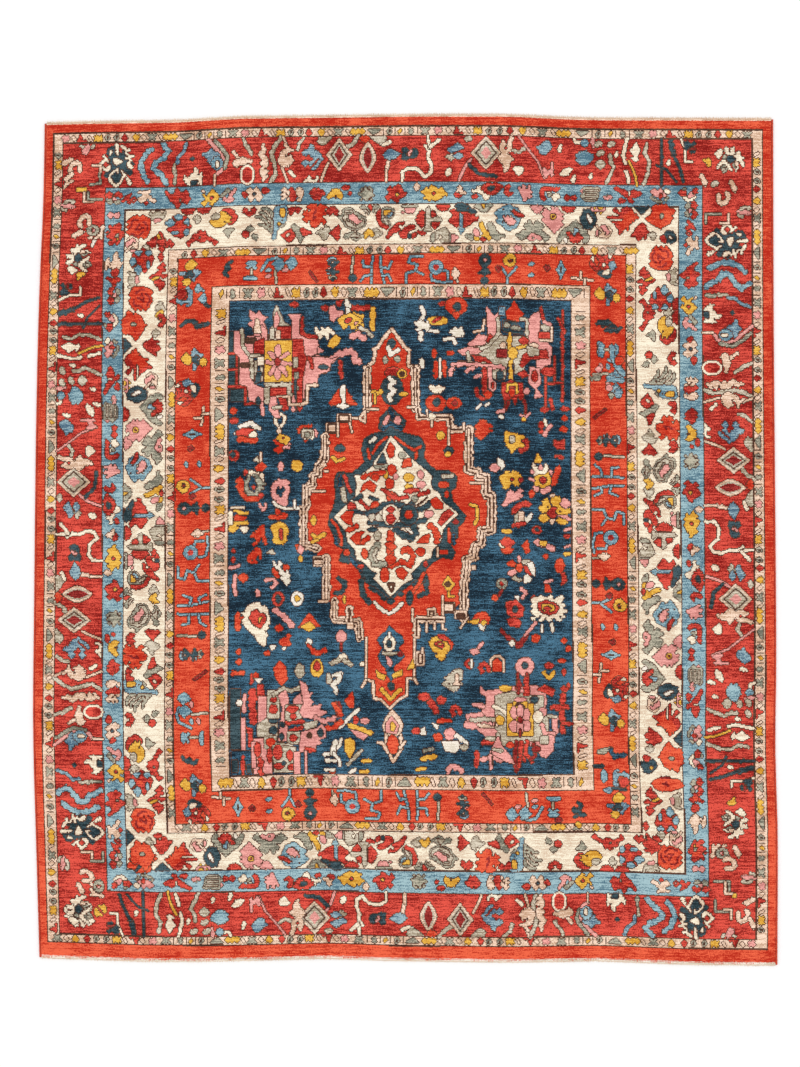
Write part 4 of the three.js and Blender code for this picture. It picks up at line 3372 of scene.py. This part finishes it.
# Small bits that fill the crimson border's corners: motif, place and quarter turns clockwise.
CORNER_BITS = table("""
motif      u   v   turn
clover     42  27  0
stick      22  38  1
horseshoe  30  45  0
claw       24  57  0
curl       53  110 0
rose_block 24  83  0
horseshoe  41  99  0
stick      35  112 3
stick      667 60  0
grey_bit   679 64  0
stick      697 66  0
horseshoe  688 78  2
rose_block 709 92  0
curl       680 728 2
stick      697 728 0
horseshoe  690 740 1
rose_block 709 754 2
stick      710 777 1
horseshoe  704 792 2
stick      712 799 0
clover     690 809 2
rose_block 25  745 1
horseshoe  48  757 1
stick      41  770 0
curl       58  770 1
gold_flag  63  790 0
daisy      40  792 3
""")
CORNER_LINES = """
line p 1.8 48,43 56,43 56,50
line g 1.8 55,51 56,61 46,62
box y 10x4 37,67
line p 1.8 40,70 40,79 49,79
line g 1.8 44,70 44,77 58,77
line g 1.8 685,94 670,94 670,103
line p 1.8 693,94 693,103 685,103
line g 1.8 675,758 690,758 690,770
line p 1.8 686,759 686,770 694,770
oval y 5x4 695,772
line g 1.8 676,777 676,788 690,788
line p 1.8 685,786 692,786 692,795
line p 1.8 44,733 54,733 54,742
line g 1.8 53,742 65,742 65,733
line w 3 52,118 50,124
line n 3 104,743 98,750
"""
# The ivory border's flowers where the sequence has not yet begun.
IVORY_CORNERS = table("""
motif       u   v   turn
pink_moth   90  122 3
pebble      104 127 0
pinwheel    101 140 3
lozenge     120 135 3
star_leaf   118 155 3
crown       93  158 3
rosette     101 177 3
gold_moth   121 190 3
vee         123 199 3
grey_eye    105 735 3
corner_leaf 632 117 0
stub        119 124 1
oval_flower 630 662 0
star_leaf   615 680 1
crown       638 679 1
pinwheel    628 698 1
lozenge     607 705 1
pink_moth   637 717 1
pebble      622 713 0
red_leaf    613 723 1
half_ink    93  718 3
lozenge     120 715 2
ink_bud     612 643 0
""")

for shapes in (MEDALLION, FRAME_OF_DIAMOND, LOWER_MEDALLION, UPPER_FIELD, LOWER_FIELD):
    draw(shapes)
scatter(FLOWERS, SCATTER)
for shapes in (HEAD_LEFT_CLUSTER, HEAD_RIGHT_CLUSTER, FOOT_LEFT_CLUSTER, FOOT_RIGHT_CLUSTER):
    draw(shapes)
draw(EXTRAS)
draw(CORNER_LINES)
scatter(RED, CORNER_BITS)
scatter(IVORY, IVORY_CORNERS)
# Undyed weft shows at the last rows of both ends.
HEAD_PALE = 1
FOOT_PALE = 2
cloth[:HEAD_PALE] = LETTERS.index("p")
cloth[-FOOT_PALE:] = LETTERS.index("w")


# The rug's mesh: one closed sheet, its outline the CAD carpet's

# Only a side or an end of the CAD carpet lies farther from its middle than this.
SIDE_FROM = 1.17
END_FROM = 1.33
OUTLINE_HEIGHT = 2.5 * MILLIMETRE  # where its outline is read
RIM_BESIDE = {
    "left": lambda x, y: x < -SIDE_FROM,
    "right": lambda x, y: x > SIDE_FROM,
    "head": lambda x, y: y > END_FROM,
    "foot": lambda x, y: y < -END_FROM,
}
# The rim from the pile's face down to the underside: inset from the outline and height, both in millimetres.
RIM = table("""
inset height
2.2   10
0.8   8.8
0     6.2
0     3
0.8   0.9
2     0
""")
RIM_RINGS = len(RIM) - 1
PILE_KNOTS = np.array([BLOCKS_WIDE * BLOCK_WIDE, BLOCKS_LONG * BLOCK_LONG])
UNEVEN_PILE = 0.5 * MILLIMETRE
SAME_SHARE = 1e-4  # shares of the rug's width or length that differ by less are the same


def rim_line(side):
    """The CAD carpet's outline on one side, as points in order along x or y."""
    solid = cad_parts["carpet"]
    level = [v.co for v in solid.data.vertices if abs(v.co.z - OUTLINE_HEIGHT) < 1e-5]
    corners = {(round(co.x, 6), round(co.y, 6)) for co in level}
    along = 0 if side in ("head", "foot") else 1
    return np.array(sorted((p for p in corners if RIM_BESIDE[side](*p)), key=lambda p: p[along]))


RIM_LINES = {side: rim_line(side) for side in RIM_BESIDE}


def on_rim(side, share):
    """Places on one side's line, at shares of the way from the left or from the head: x and y arrays."""
    line = RIM_LINES[side]
    if side in ("head", "foot"):
        x = line[0, 0] + share * (line[-1, 0] - line[0, 0])
        return np.stack([x, np.interp(x, line[:, 0], line[:, 1])])
    y = line[-1, 1] + share * (line[0, 1] - line[-1, 1])
    return np.stack([np.interp(y, line[:, 1], line[:, 0]), y])


def laid_out(across, down, inset=0.0):
    """Where shares across and down the rug lie on the floor, drawn in from its outline by an inset."""
    left_end, right_end = RIM_LINES["head"][0], RIM_LINES["head"][-1]
    across = across + inset / (right_end[0] - left_end[0]) * (1 - 2 * across)
    down = down + inset / (left_end[1] - RIM_LINES["left"][0, 1]) * (1 - 2 * down)
    ends = (1 - down) * on_rim("head", across) + down * on_rim("foot", across)
    sides = (1 - across) * on_rim("left", down) + across * on_rim("right", down)
    straight = [
        (1 - down) * (1 - across) * on_rim("head", 0.0)[:, None],
        (1 - down) * across * on_rim("head", 1.0)[:, None],
        down * (1 - across) * on_rim("foot", 0.0)[:, None],
        down * across * on_rim("foot", 1.0)[:, None],
    ]
    return ends + sides - sum(straight)


def waves(x, y):
    """Gentle unevenness from -1 to 1, as shears and cupping leave it."""
    return (np.sin(x * 21 + np.sin(y * 5)) + np.sin(y * 17 + 2 * np.sin(x * 4)) + np.sin((x - y) * 43)) / 3


def unit_grid(shape, wide, long):
    """A grid of faces from 0 to 1 in x and y, so many wide and long."""
    bmesh.ops.create_grid(shape, x_segments=wide, y_segments=long, size=0.5)
    bmesh.ops.translate(shape, verts=shape.verts, vec=(0.5, 0.5, 0))


def lifted(shape, made, rise):
    """Lifts what an operator made."""
    bmesh.ops.translate(shape, verts=[e for e in made if isinstance(e, bmesh.types.BMVert)], vec=(0, 0, rise))


def sheet_mesh():
    """The rug in plan shares: x across, y down and z the rim ring, from 0 on the pile up to the underside."""
    shape = bmesh.new()
    unit_grid(shape, BLOCKS_WIDE, BLOCKS_LONG)
    under = bmesh.ops.duplicate(shape, geom=shape.faces[:] + shape.edges[:] + shape.verts[:])["geom"]
    lifted(shape, under, RIM_RINGS)
    edge = [e for e in shape.edges if e.is_boundary and e.verts[0].co.z < 0.5]
    for _ in range(RIM_RINGS):
        grown = bmesh.ops.extrude_edge_only(shape, edges=edge)["geom"]
        lifted(shape, grown, 1)
        edge = [e for e in grown if isinstance(e, bmesh.types.BMEdge) and e.is_boundary]
    bmesh.ops.remove_doubles(shape, verts=shape.verts, dist=SAME_SHARE)
    bmesh.ops.recalc_face_normals(shape, faces=shape.faces)
    mesh = bpy.data.meshes.new("rug")
    shape.to_mesh(mesh)
    shape.free()
    return mesh


def new_piece(name, mesh):
    """An object in the scene, at the origin."""
    piece = bpy.data.objects.new(name, mesh)
    bpy.context.scene.collection.objects.link(piece)
    return piece


def read(items, what, wide):
    """One property of all the items, as rows of so many numbers."""
    values = np.empty(len(items) * wide)
    items.foreach_get(what, values)
    return values.reshape(len(items), wide)


def plan_corners(mesh, plan):
    """The plan place of every face corner."""
    return plan[read(mesh.loops, "vertex_index", 1).astype(int)[:, 0]]


def add_map(mesh, name, uv):
    """Gives the mesh a UV map, from a row for every face corner."""
    mesh.uv_layers.new(name=name).data.foreach_set("uv", np.asarray(uv).ravel())


mesh = sheet_mesh()
plan = read(mesh.vertices, "co", 3)
corner = plan_corners(mesh, plan)
blocks = np.array([BLOCKS_WIDE, BLOCKS_LONG])
# The plan's y grows towards the foot, as the chart's v does.
block = np.floor(corner.reshape(-1, 4, 3).mean(1)[:, :2] * blocks).astype(int).clip(0, blocks - 1)

ring = plan[:, 2].round().astype(int)
inset, height = (np.array([row[what] for row in RIM]) * MILLIMETRE for what in ("inset", "height"))
x, y = laid_out(plan[:, 0], plan[:, 1], inset[ring])
level = height[ring] - UNEVEN_PILE * (1 + waves(x, y)) * (height[ring] / height[0]) ** 2
mesh.vertices.foreach_set("co", np.stack([x, y, level], -1).ravel())

knots_in_block = np.array([BLOCK_WIDE, BLOCK_LONG])
in_block = corner[:, :2] * blocks - np.repeat(block, 4, axis=0)
add_map(mesh, "Knots", (in_block * knots_in_block).clip(0, knots_in_block))

# Knots counted over the whole rug. The rim's rings go on outwards, a knot each, so none is without width.
ring_of_corner = corner[:, 2].reshape(-1, 4)
on_flank = np.repeat(ring_of_corner.min(1) < ring_of_corner.max(1), 4)
outwards = (corner[:, :2] > 1 - SAME_SHARE).astype(int) - (corner[:, :2] < SAME_SHARE)
counted = corner[:, :2] * PILE_KNOTS + outwards * (on_flank * corner[:, 2])[:, None]
add_map(mesh, "Weave", counted)
add_map(mesh, "OFBake", (counted + RIM_RINGS) / (PILE_KNOTS + 2 * RIM_RINGS))

# A face holds each of its block's rows as one number, whose digits are the yarns of the row's knots.
for part, letter in enumerate(BLOCK_ROWS):
    rows = cloth[part::BLOCK_LONG, FIRST_COLUMN:FIRST_COLUMN + PILE_KNOTS[0]]
    digits = rows.reshape(BLOCKS_LONG, BLOCKS_WIDE, BLOCK_WIDE)
    codes = (digits * len(LETTERS) ** np.arange(BLOCK_WIDE)).sum(-1)[block[:, 1], block[:, 0]]
    mesh.attributes.new(f"knots_{letter}", "FLOAT", "FACE").data.foreach_set("value", codes.astype(float))
mesh.update()
rug = new_piece("rug", mesh)


# Materials


class Wire:
    """A socket in a material's node tree; arithmetic on it adds Math nodes."""

    def __init__(self, tree, socket):
        self.tree = tree
        self.socket = socket

    def make(self, kind, settings=(), inputs=(), output=0):
        """Adds a node: its type, its settings, then its inputs by name or number."""
        node = self.tree.nodes.new(f"ShaderNode{kind}")
        for name, value in dict(settings).items():
            setattr(node, name, value)
        for name, value in dict(inputs).items():
            if isinstance(value, Wire):
                self.tree.links.new(value.socket, node.inputs[name])
            else:
                node.inputs[name].default_value = value
        return Wire(self.tree, node.outputs[output])

    def math(self, operation, *others):
        """Adds a Math node on this and the others."""
        return self.make("Math", {"operation": operation}, enumerate((self, *others)))

    def __add__(self, other):
        return self.math("ADD", other)

    def __sub__(self, other):
        return self.math("SUBTRACT", other)

    def __rsub__(self, other):
        return self.math("MULTIPLY", -1.0) + other

    def __mul__(self, other):
        return self.math("MULTIPLY", other)

    def __truediv__(self, other):
        return self.math("DIVIDE", other)

    def between(self, low, high):
        """The value kept between two limits."""
        return self.math("MAXIMUM", low).math("MINIMUM", high)

    def near(self, number, reach=0.4):
        """1 where the value is within reach of the number, and 0 elsewhere."""
        return self.math("COMPARE", float(number), reach)

    def off_middle(self):
        """How far a count of knots is from the middle of its knot."""
        return (self.math("FRACT") - 0.5).math("ABSOLUTE")

    def parts(self):
        """The x and y of a vector."""
        return [self.make("SeparateXYZ", (), {0: self}, output) for output in ("X", "Y")]

    def joined(self, other):
        """A vector of this as x and the other as y."""
        return self.make("CombineXYZ", (), {"X": self, "Y": other})

    def noise(self, scale, detail, output=0):
        """Flat noise on a vector, from 0 to 1."""
        settings = {"noise_dimensions": "2D"}
        return self.make("TexNoise", settings, {"Vector": self, "Scale": scale, "Detail": detail}, output)

    def feeds(self, node, name):
        """Links this to a node's input."""
        self.tree.links.new(self.socket, node.inputs[name])


def total(wires):
    """The sum of several wires."""
    result, *rest = wires
    for wire in rest:
        result = result + wire
    return result


def linear(text):
    """A hex colour as the linear values that a socket takes."""
    return [light_of(channel / 255) for channel in bytes.fromhex(text)] + [1.0]


def wool(name, roughness):
    """A wool material, a wire to start from and its shader, with what stays the same over the whole of it."""
    material = bpy.data.materials.new(name)
    material.use_nodes = True
    shader = material.node_tree.nodes["Principled BSDF"]
    shader.inputs["Roughness"].default_value = roughness
    shader.inputs["Specular IOR Level"].default_value = 0.2
    shader.inputs["Sheen Weight"].default_value = 0.05
    shader.inputs["Sheen Roughness"].default_value = 0.5
    return material, Wire(material.node_tree, None), shader


def ramp(wire, stops, interpolation="LINEAR"):
    """A Color Ramp on a wire: stops are (place, linear colour)."""
    result = wire.make("ValToRGB", (), {"Fac": wire})
    band = result.socket.node.color_ramp
    band.interpolation = interpolation
    band.elements[1].position = stops[1][0]
    for place, _ in stops[2:]:
        band.elements.new(place)
    for element, (place, colour) in zip(band.elements, stops):
        element.position = place
        element.color = colour
    return result


def shaded(start, light, dark_colour, light_colour):
    """The colour between a dark and a light one, by a share of light."""
    return start.make("Mix", {"data_type": "RGBA"}, {0: light, 6: dark_colour, 7: light_colour}, 2)


def bumped(start, shader, strength, distance, height):
    """Gives the shader a bump of that height, whose distance is in millimetres."""
    bump = start.make("Bump", (), {"Strength": strength, "Distance": distance * MILLIMETRE, "Height": height})
    bump.feeds(shader, "Normal")


# How light each yarn's wool is from the head end to the foot end: a dye lot is a few bands of rows.
DYE_LOTS = table("""
v   f    r    o    b
0   0.5  0.44 0.38 0.37
120 0.5  0.44 0.33 0.37
190 0.52 0.35 0.33 0.43
215 0.4  0.34 0.3  0.42
235 0.24 0.35 0.28 0.41
265 0.26 0.37 0.27 0.41
285 0.42 0.39 0.29 0.44
312 0.5  0.41 0.32 0.48
330 0.3  0.43 0.34 0.5
375 0.3  0.46 0.39 0.55
400 0.36 0.49 0.42 0.57
425 0.6  0.53 0.43 0.59
447 0.65 0.54 0.44 0.61
475 0.32 0.53 0.46 0.63
500 0.5  0.53 0.48 0.63
520 0.77 0.53 0.5  0.62
555 0.85 0.54 0.53 0.61
580 0.46 0.54 0.55 0.62
600 0.6  0.54 0.56 0.64
650 0.6  0.55 0.55 0.7
740 0.5  0.6  0.68 0.72
838 0.5  0.6  0.66 0.72
""")
# How strongly each yarn's lots and its light and dark streaks show, and how light its middle lot is.
LOT_STRENGTH = table("""
letter lots middle streaks
f      0.85 0.31   0.78
r      1    0.5    1
o      1    0.5    1
b      1    0.5    1
""")
# What makes the wool lighter and darker: noise, so fine over and down the rug, and how much it counts.
SHADING = table("""
tone    over  down detail weight
streaks 0.012 0.5  3      1.8
rows    0.12  0.9  1      2.1
knots   0.8   0.8  1      2.4
wear    0.04  0.04 3      1.9
""")
KNOT_STRAYS = 1.1  # how far a knot's colour strays into its neighbours' places, in knots
STRAY_SCALE = 0.45
BLOCK_MARGIN = 0.01
# The medallion's red is a deeper lot than the borders': the field's middle and half its size, in knots.
FIELD_MIDDLE = (370, 420)
FIELD_REACH = (165.0, 235.0)
DEEPER_RED = 0.13
DARK_WEIGHT = 0.28  # dark wool outweighs light wool
LOOSE_PILE = 0.8  # how much the knots' uneven height counts in the bump
KNOT_CROWN = 0.5  # and how much each knot's round top


def yarn_of_knot(start, column, row):
    """The number of the yarn of the knot at that column and row of its block."""
    held = [start.make("Attribute", {"attribute_name": f"knots_{name}"}, (), "Fac") for name in BLOCK_ROWS]
    code = total(number * row.near(part) for part, number in enumerate(held))
    place_value = (column * 0.0 + len(LETTERS)).math("POWER", column)
    return ((code + 0.5) / place_value).math("FLOOR").math("MODULO", float(len(LETTERS)))


def pile_material():
    """The pile: each knot's yarn, light and dark by dye lot, row and wear, with round-topped knots."""
    material, start, shader = wool("wool_pile", 0.92)
    weave = start.make("UVMap", {"uv_map": "Weave"})
    over, down = weave.parts()
    in_block = start.make("UVMap", {"uv_map": "Knots"}).parts()
    strays = weave.noise(STRAY_SCALE, 1.0, "Color").parts()
    column, row = (
        (place + (stray - 0.5) * KNOT_STRAYS).between(BLOCK_MARGIN, knots - BLOCK_MARGIN).math("FLOOR")
        for place, stray, knots in zip(in_block, strays, (BLOCK_WIDE, BLOCK_LONG))
    )
    yarn = yarn_of_knot(start, column, row)

    tones = {row["tone"]: (over * row["over"]).joined(down * row["down"]).noise(1.0, row["detail"])
             for row in SHADING}
    light = total((tones[row["tone"]] - 0.5) * row["weight"] for row in SHADING)
    for lot in LOT_STRENGTH:
        if lot["streaks"] < 1:
            light = light * (1.0 - yarn.near(LETTERS.index(lot["letter"])) * (1 - lot["streaks"]))
    light = light + 0.5
    for lot in LOT_STRENGTH:
        levels = [(row[lot["letter"]] - 0.5) * lot["lots"] + lot["middle"] for row in DYE_LOTS]
        places = [row["v"] / CHART_LONG for row in DYE_LOTS]
        lots = ramp(down / CHART_LONG, [(place, [level] * 3 + [1.0]) for place, level in zip(places, levels)])
        light = light + yarn.near(LETTERS.index(lot["letter"])) * (lots - 0.5)
    in_field = over.near(FIELD_MIDDLE[0], FIELD_REACH[0]) * down.near(FIELD_MIDDLE[1], FIELD_REACH[1])
    light = (light - in_field * yarn.near(LETTERS.index("o")) * DEEPER_RED).between(0.0, 1.0)
    light = light * (light * DARK_WEIGHT + (1 - DARK_WEIGHT))

    place = (yarn + 0.5) / len(LETTERS)
    dark_yarn, light_yarn = (
        ramp(place, [(i / len(YARNS), linear(str(row[shade]))) for i, row in enumerate(YARNS)], "CONSTANT")
        for shade in ("dark", "light")
    )
    shaded(start, light, dark_yarn, light_yarn).feeds(shader, "Base Color")
    crown = total(place.off_middle() for place in in_block)
    bumped(start, shader, 0.6, 0.6, (tones["knots"] - 0.5) * LOOSE_PILE - crown * KNOT_CROWN)
    return material


rug.data.materials.append(pile_material())
for face in rug.data.polygons:
    face.use_smooth = True
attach(rug, "root")
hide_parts("carpet")


# The side cords and the ends

CORD_RADIUS = 3.25 * MILLIMETRE
CORD_FACES = 10
WRAP_PITCH = 3.3 * MILLIMETRE
WRAP_GROOVE = 0.16  # of the cord's radius
CORD_TOP_FROM = 6 * MILLIMETRE  # the CAD cord's top points are higher than this
RIM_GAP = 0.3 * MILLIMETRE
# The flatwoven strip and the cut warp ends beyond it, in millimetres.
ENDS = table("""
end  outwards strip thick lock_shortest lock_longest
head 1        3     2.2   3.2           6.4
foot -1       2     2.2   2.0           4.6
""")
STRIP_FACES = 8
STRIP_GROOVE = 0.1
ROOT_ACROSS = 0.7  # how far out across the strip a lock's root is
# The cut warp ends, in millimetres.
LOCKS = 592
LOCK_SIDES = 4
LOCK_STRAYS = 0.2  # of the room that each lock has along the end
LOCK_SPLAY = 1.2
LOCK_ROOT_HEIGHT = 1.2
LOCK_TIP_HEIGHT = 0.9
LOCK_RADIUS = 1.1
LOCK_TIP = 0.35  # of its radius
# The pile that leans out over the pale rows at the foot end, in millimetres.
TUFTS = 760
TUFT_SIDES = 5
TUFT_REACH = (0.6, 5.4)
TUFT_SPLAY = 1.5
TUFT_ROOT_INSET = 2.6
TUFT_ROOT_HEIGHT = 8.2
TUFT_TIP_HEIGHT = (8.4, 9.4)
TUFT_RADIUS = 2.0
TUFT_TIP = 0.45  # of its radius
PALE_ROWS = 5.2 * MILLIMETRE
random = np.random.default_rng(7)


def tube(name, line, half_wide, half_high, sides, pitch, groove):
    """A closed, ridged, flattened tube along a line of x and y points, resting on the floor."""
    length = np.hypot(*np.diff(line, axis=0).T).sum()
    steps = round(2 * length / pitch)
    shape = bmesh.new()
    unit_grid(shape, steps, sides)
    mesh = bpy.data.meshes.new(name)
    shape.to_mesh(mesh)
    shape.free()
    plan = read(mesh.vertices, "co", 3)
    add_map(mesh, "OFBake", plan_corners(mesh, plan)[:, :2])
    along = np.r_[0, np.hypot(*np.diff(line, axis=0).T).cumsum()] / length
    middle = np.stack([np.interp(plan[:, 0], along, line[:, axis]) for axis in (0, 1)])
    run = line[-1] - line[0]
    beside = np.array([-run[1], run[0]]) / np.hypot(*run)
    step = (plan[:, 0] * steps).round().astype(int)
    turn = plan[:, 1] * 2 * np.pi
    radius = 1 - groove * (step % 2)
    across = middle + beside[:, None] * np.cos(turn) * half_wide * radius
    up = half_high * (1 + np.sin(turn) * radius)
    mesh.vertices.foreach_set("co", np.stack([*across, up], -1).ravel())
    shape = bmesh.new()
    shape.from_mesh(mesh)
    bmesh.ops.remove_doubles(shape, verts=shape.verts, dist=1e-6)
    bmesh.ops.holes_fill(shape, edges=[e for e in shape.edges if e.is_boundary])
    bmesh.ops.recalc_face_normals(shape, faces=shape.faces)
    for face in shape.faces:
        face.smooth = True
    return shape, mesh


def lock(shape, root, tip, radius, tip_share, sides):
    """Adds one tapered lock of yarn from its root to its tip."""
    way = Vector(tip) - Vector(root)
    place = Vector(root).lerp(Vector(tip), 0.5)
    turned = way.to_track_quat("Z", "Y").to_matrix().to_4x4()
    turned.translation = place
    bmesh.ops.create_cone(shape, cap_ends=True, segments=sides, radius1=radius, radius2=radius * tip_share,
                          depth=way.length, matrix=turned)


def finished(name, shape, mesh, material, node=None):
    """Makes a piece of the shape with its material, hangs it under the root, and hides the CAD node that it
    stands for, if one is given.
    """
    shape.to_mesh(mesh)
    shape.free()
    piece = new_piece(name, mesh)
    piece.data.materials.append(material)
    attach(piece, "root")
    if node:
        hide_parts(node)
    return piece


FLECK_SCALE = 14  # flecks to a patch of shade
PATCH_WEIGHT = 1.4
FLECK_WEIGHT = 1.2


def yarn_material(name, dark, light, scale):
    """Plain wool between two dye shades, in patches and finer flecks."""
    material, start, shader = wool(name, 0.9)
    where = start.make("TexCoord", (), (), "Object")
    patches = where.noise(scale, 3.0)
    flecks = where.noise(scale * FLECK_SCALE, 2.0)
    light_share = (patches - 0.5) * PATCH_WEIGHT + (flecks - 0.5) * FLECK_WEIGHT + 0.5
    shaded(start, light_share.between(0.0, 1.0), linear(dark), linear(light)).feeds(shader, "Base Color")
    bumped(start, shader, 0.4, 0.4, flecks)
    return material


cord_wool = yarn_material("cord_wool", "b03a26", "de5c40", 9.0)
warp_yarn = yarn_material("warp_yarn", "d8b494", "f6e2c8", 14.0)
tuft_wool = yarn_material("tuft_wool", "c23c26", "ea5e40", 12.0)

for side in ("left", "right"):
    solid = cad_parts[f"side_cord_{side}"]
    high = [v.co for v in solid.data.vertices if v.co.z > CORD_TOP_FROM]
    top = sorted({(round(co.y, 6), round(co.x, 6)) for co in high})
    line = np.array(top).reshape(-1, 2, 2).mean(1)[:, ::-1]
    shape, mesh = tube(f"cord_{side}", line, CORD_RADIUS, CORD_RADIUS, CORD_FACES, WRAP_PITCH, WRAP_GROOVE)
    finished(f"cord_{side}", shape, mesh, cord_wool, f"side_cord_{side}")

for end in ENDS:
    outwards = end["outwards"]
    reach = end["strip"] * MILLIMETRE
    line = RIM_LINES[end["end"]] + (0, outwards * (RIM_GAP + reach / 2))
    shape, mesh = tube(f"fringe_{end['end']}", line, reach / 2, end["thick"] * MILLIMETRE / 2, STRIP_FACES,
                       WRAP_PITCH, STRIP_GROOVE)
    shares = (np.arange(LOCKS) + 0.5 + random.uniform(-LOCK_STRAYS, LOCK_STRAYS, LOCKS)) / LOCKS
    for x, y in on_rim(end["end"], shares).T:
        long = random.uniform(end["lock_shortest"], end["lock_longest"]) * MILLIMETRE
        tip_x = x + random.uniform(-LOCK_SPLAY, LOCK_SPLAY) * MILLIMETRE
        root_y = y + outwards * (RIM_GAP + reach * ROOT_ACROSS)
        tip_y = root_y + outwards * (long + reach * (1 - ROOT_ACROSS))
        lock(shape, (x, root_y, LOCK_ROOT_HEIGHT * MILLIMETRE), (tip_x, tip_y, LOCK_TIP_HEIGHT * MILLIMETRE),
             LOCK_RADIUS * MILLIMETRE, LOCK_TIP, LOCK_SIDES)
    name = f"end_fringe_{end['end']}"
    finished(name, shape, mesh, warp_yarn, name)

shape, mesh = bmesh.new(), bpy.data.meshes.new("foot_tufts")
for x, y in on_rim("foot", (np.arange(TUFTS) + 0.5) / TUFTS).T:
    clump = 0.5 + 0.5 * math.sin(x * 71 + 3 * math.sin(x * 23))
    shortest, longest = TUFT_REACH
    out = (shortest + (longest - shortest) * clump * random.uniform(0.5, 1)) * MILLIMETRE
    edge = y + PALE_ROWS
    root = (x, edge + TUFT_ROOT_INSET * MILLIMETRE, TUFT_ROOT_HEIGHT * MILLIMETRE)
    tip_x = x + random.uniform(-TUFT_SPLAY, TUFT_SPLAY) * MILLIMETRE
    tip = (tip_x, edge - out, random.uniform(*TUFT_TIP_HEIGHT) * MILLIMETRE)
    lock(shape, root, tip, TUFT_RADIUS * MILLIMETRE, TUFT_TIP, TUFT_SIDES)
finished("foot_tufts", shape, mesh, tuft_wool)


# The floor, the light and the camera

FLOOR_HALF = 6.0
FLOOR_BELOW = 0.3 * MILLIMETRE
FLOOR_COLOUR = (0.97, 0.97, 0.97, 1)
LIGHT_STRENGTH = 1.06
CAMERA_PLACE = (-0.0179, 0.0201, 8.31)
LENS = 85
FILM_HEIGHT = 36

shape = bmesh.new()
bmesh.ops.create_grid(shape, x_segments=1, y_segments=1, size=FLOOR_HALF)
bmesh.ops.translate(shape, verts=shape.verts, vec=(0, 0, -FLOOR_BELOW))
mesh = bpy.data.meshes.new("floor")
shape.to_mesh(mesh)
shape.free()
floor = new_piece("floor", mesh)
plain = bpy.data.materials.new("pale_floor")
plain.use_nodes = True
shader = plain.node_tree.nodes["Principled BSDF"]
shader.inputs["Base Color"].default_value = FLOOR_COLOUR
shader.inputs["Roughness"].default_value = 1.0
shader.inputs["Specular IOR Level"].default_value = 0.0
floor.data.materials.append(plain)

scene = bpy.context.scene
sky = bpy.data.worlds.new("soft_light")
sky.use_nodes = True
background = sky.node_tree.nodes["Background"]
background.inputs["Color"].default_value = (1, 1, 1, 1)
background.inputs["Strength"].default_value = LIGHT_STRENGTH
scene.world = sky
scene.view_settings.view_transform = "Standard"

lens = bpy.data.cameras.new("camera")
lens.lens = LENS
lens.sensor_fit = "VERTICAL"
lens.sensor_height = FILM_HEIGHT
camera = bpy.data.objects.new("camera", lens)
camera.location = CAMERA_PLACE
scene.collection.objects.link(camera)
scene.camera = camera
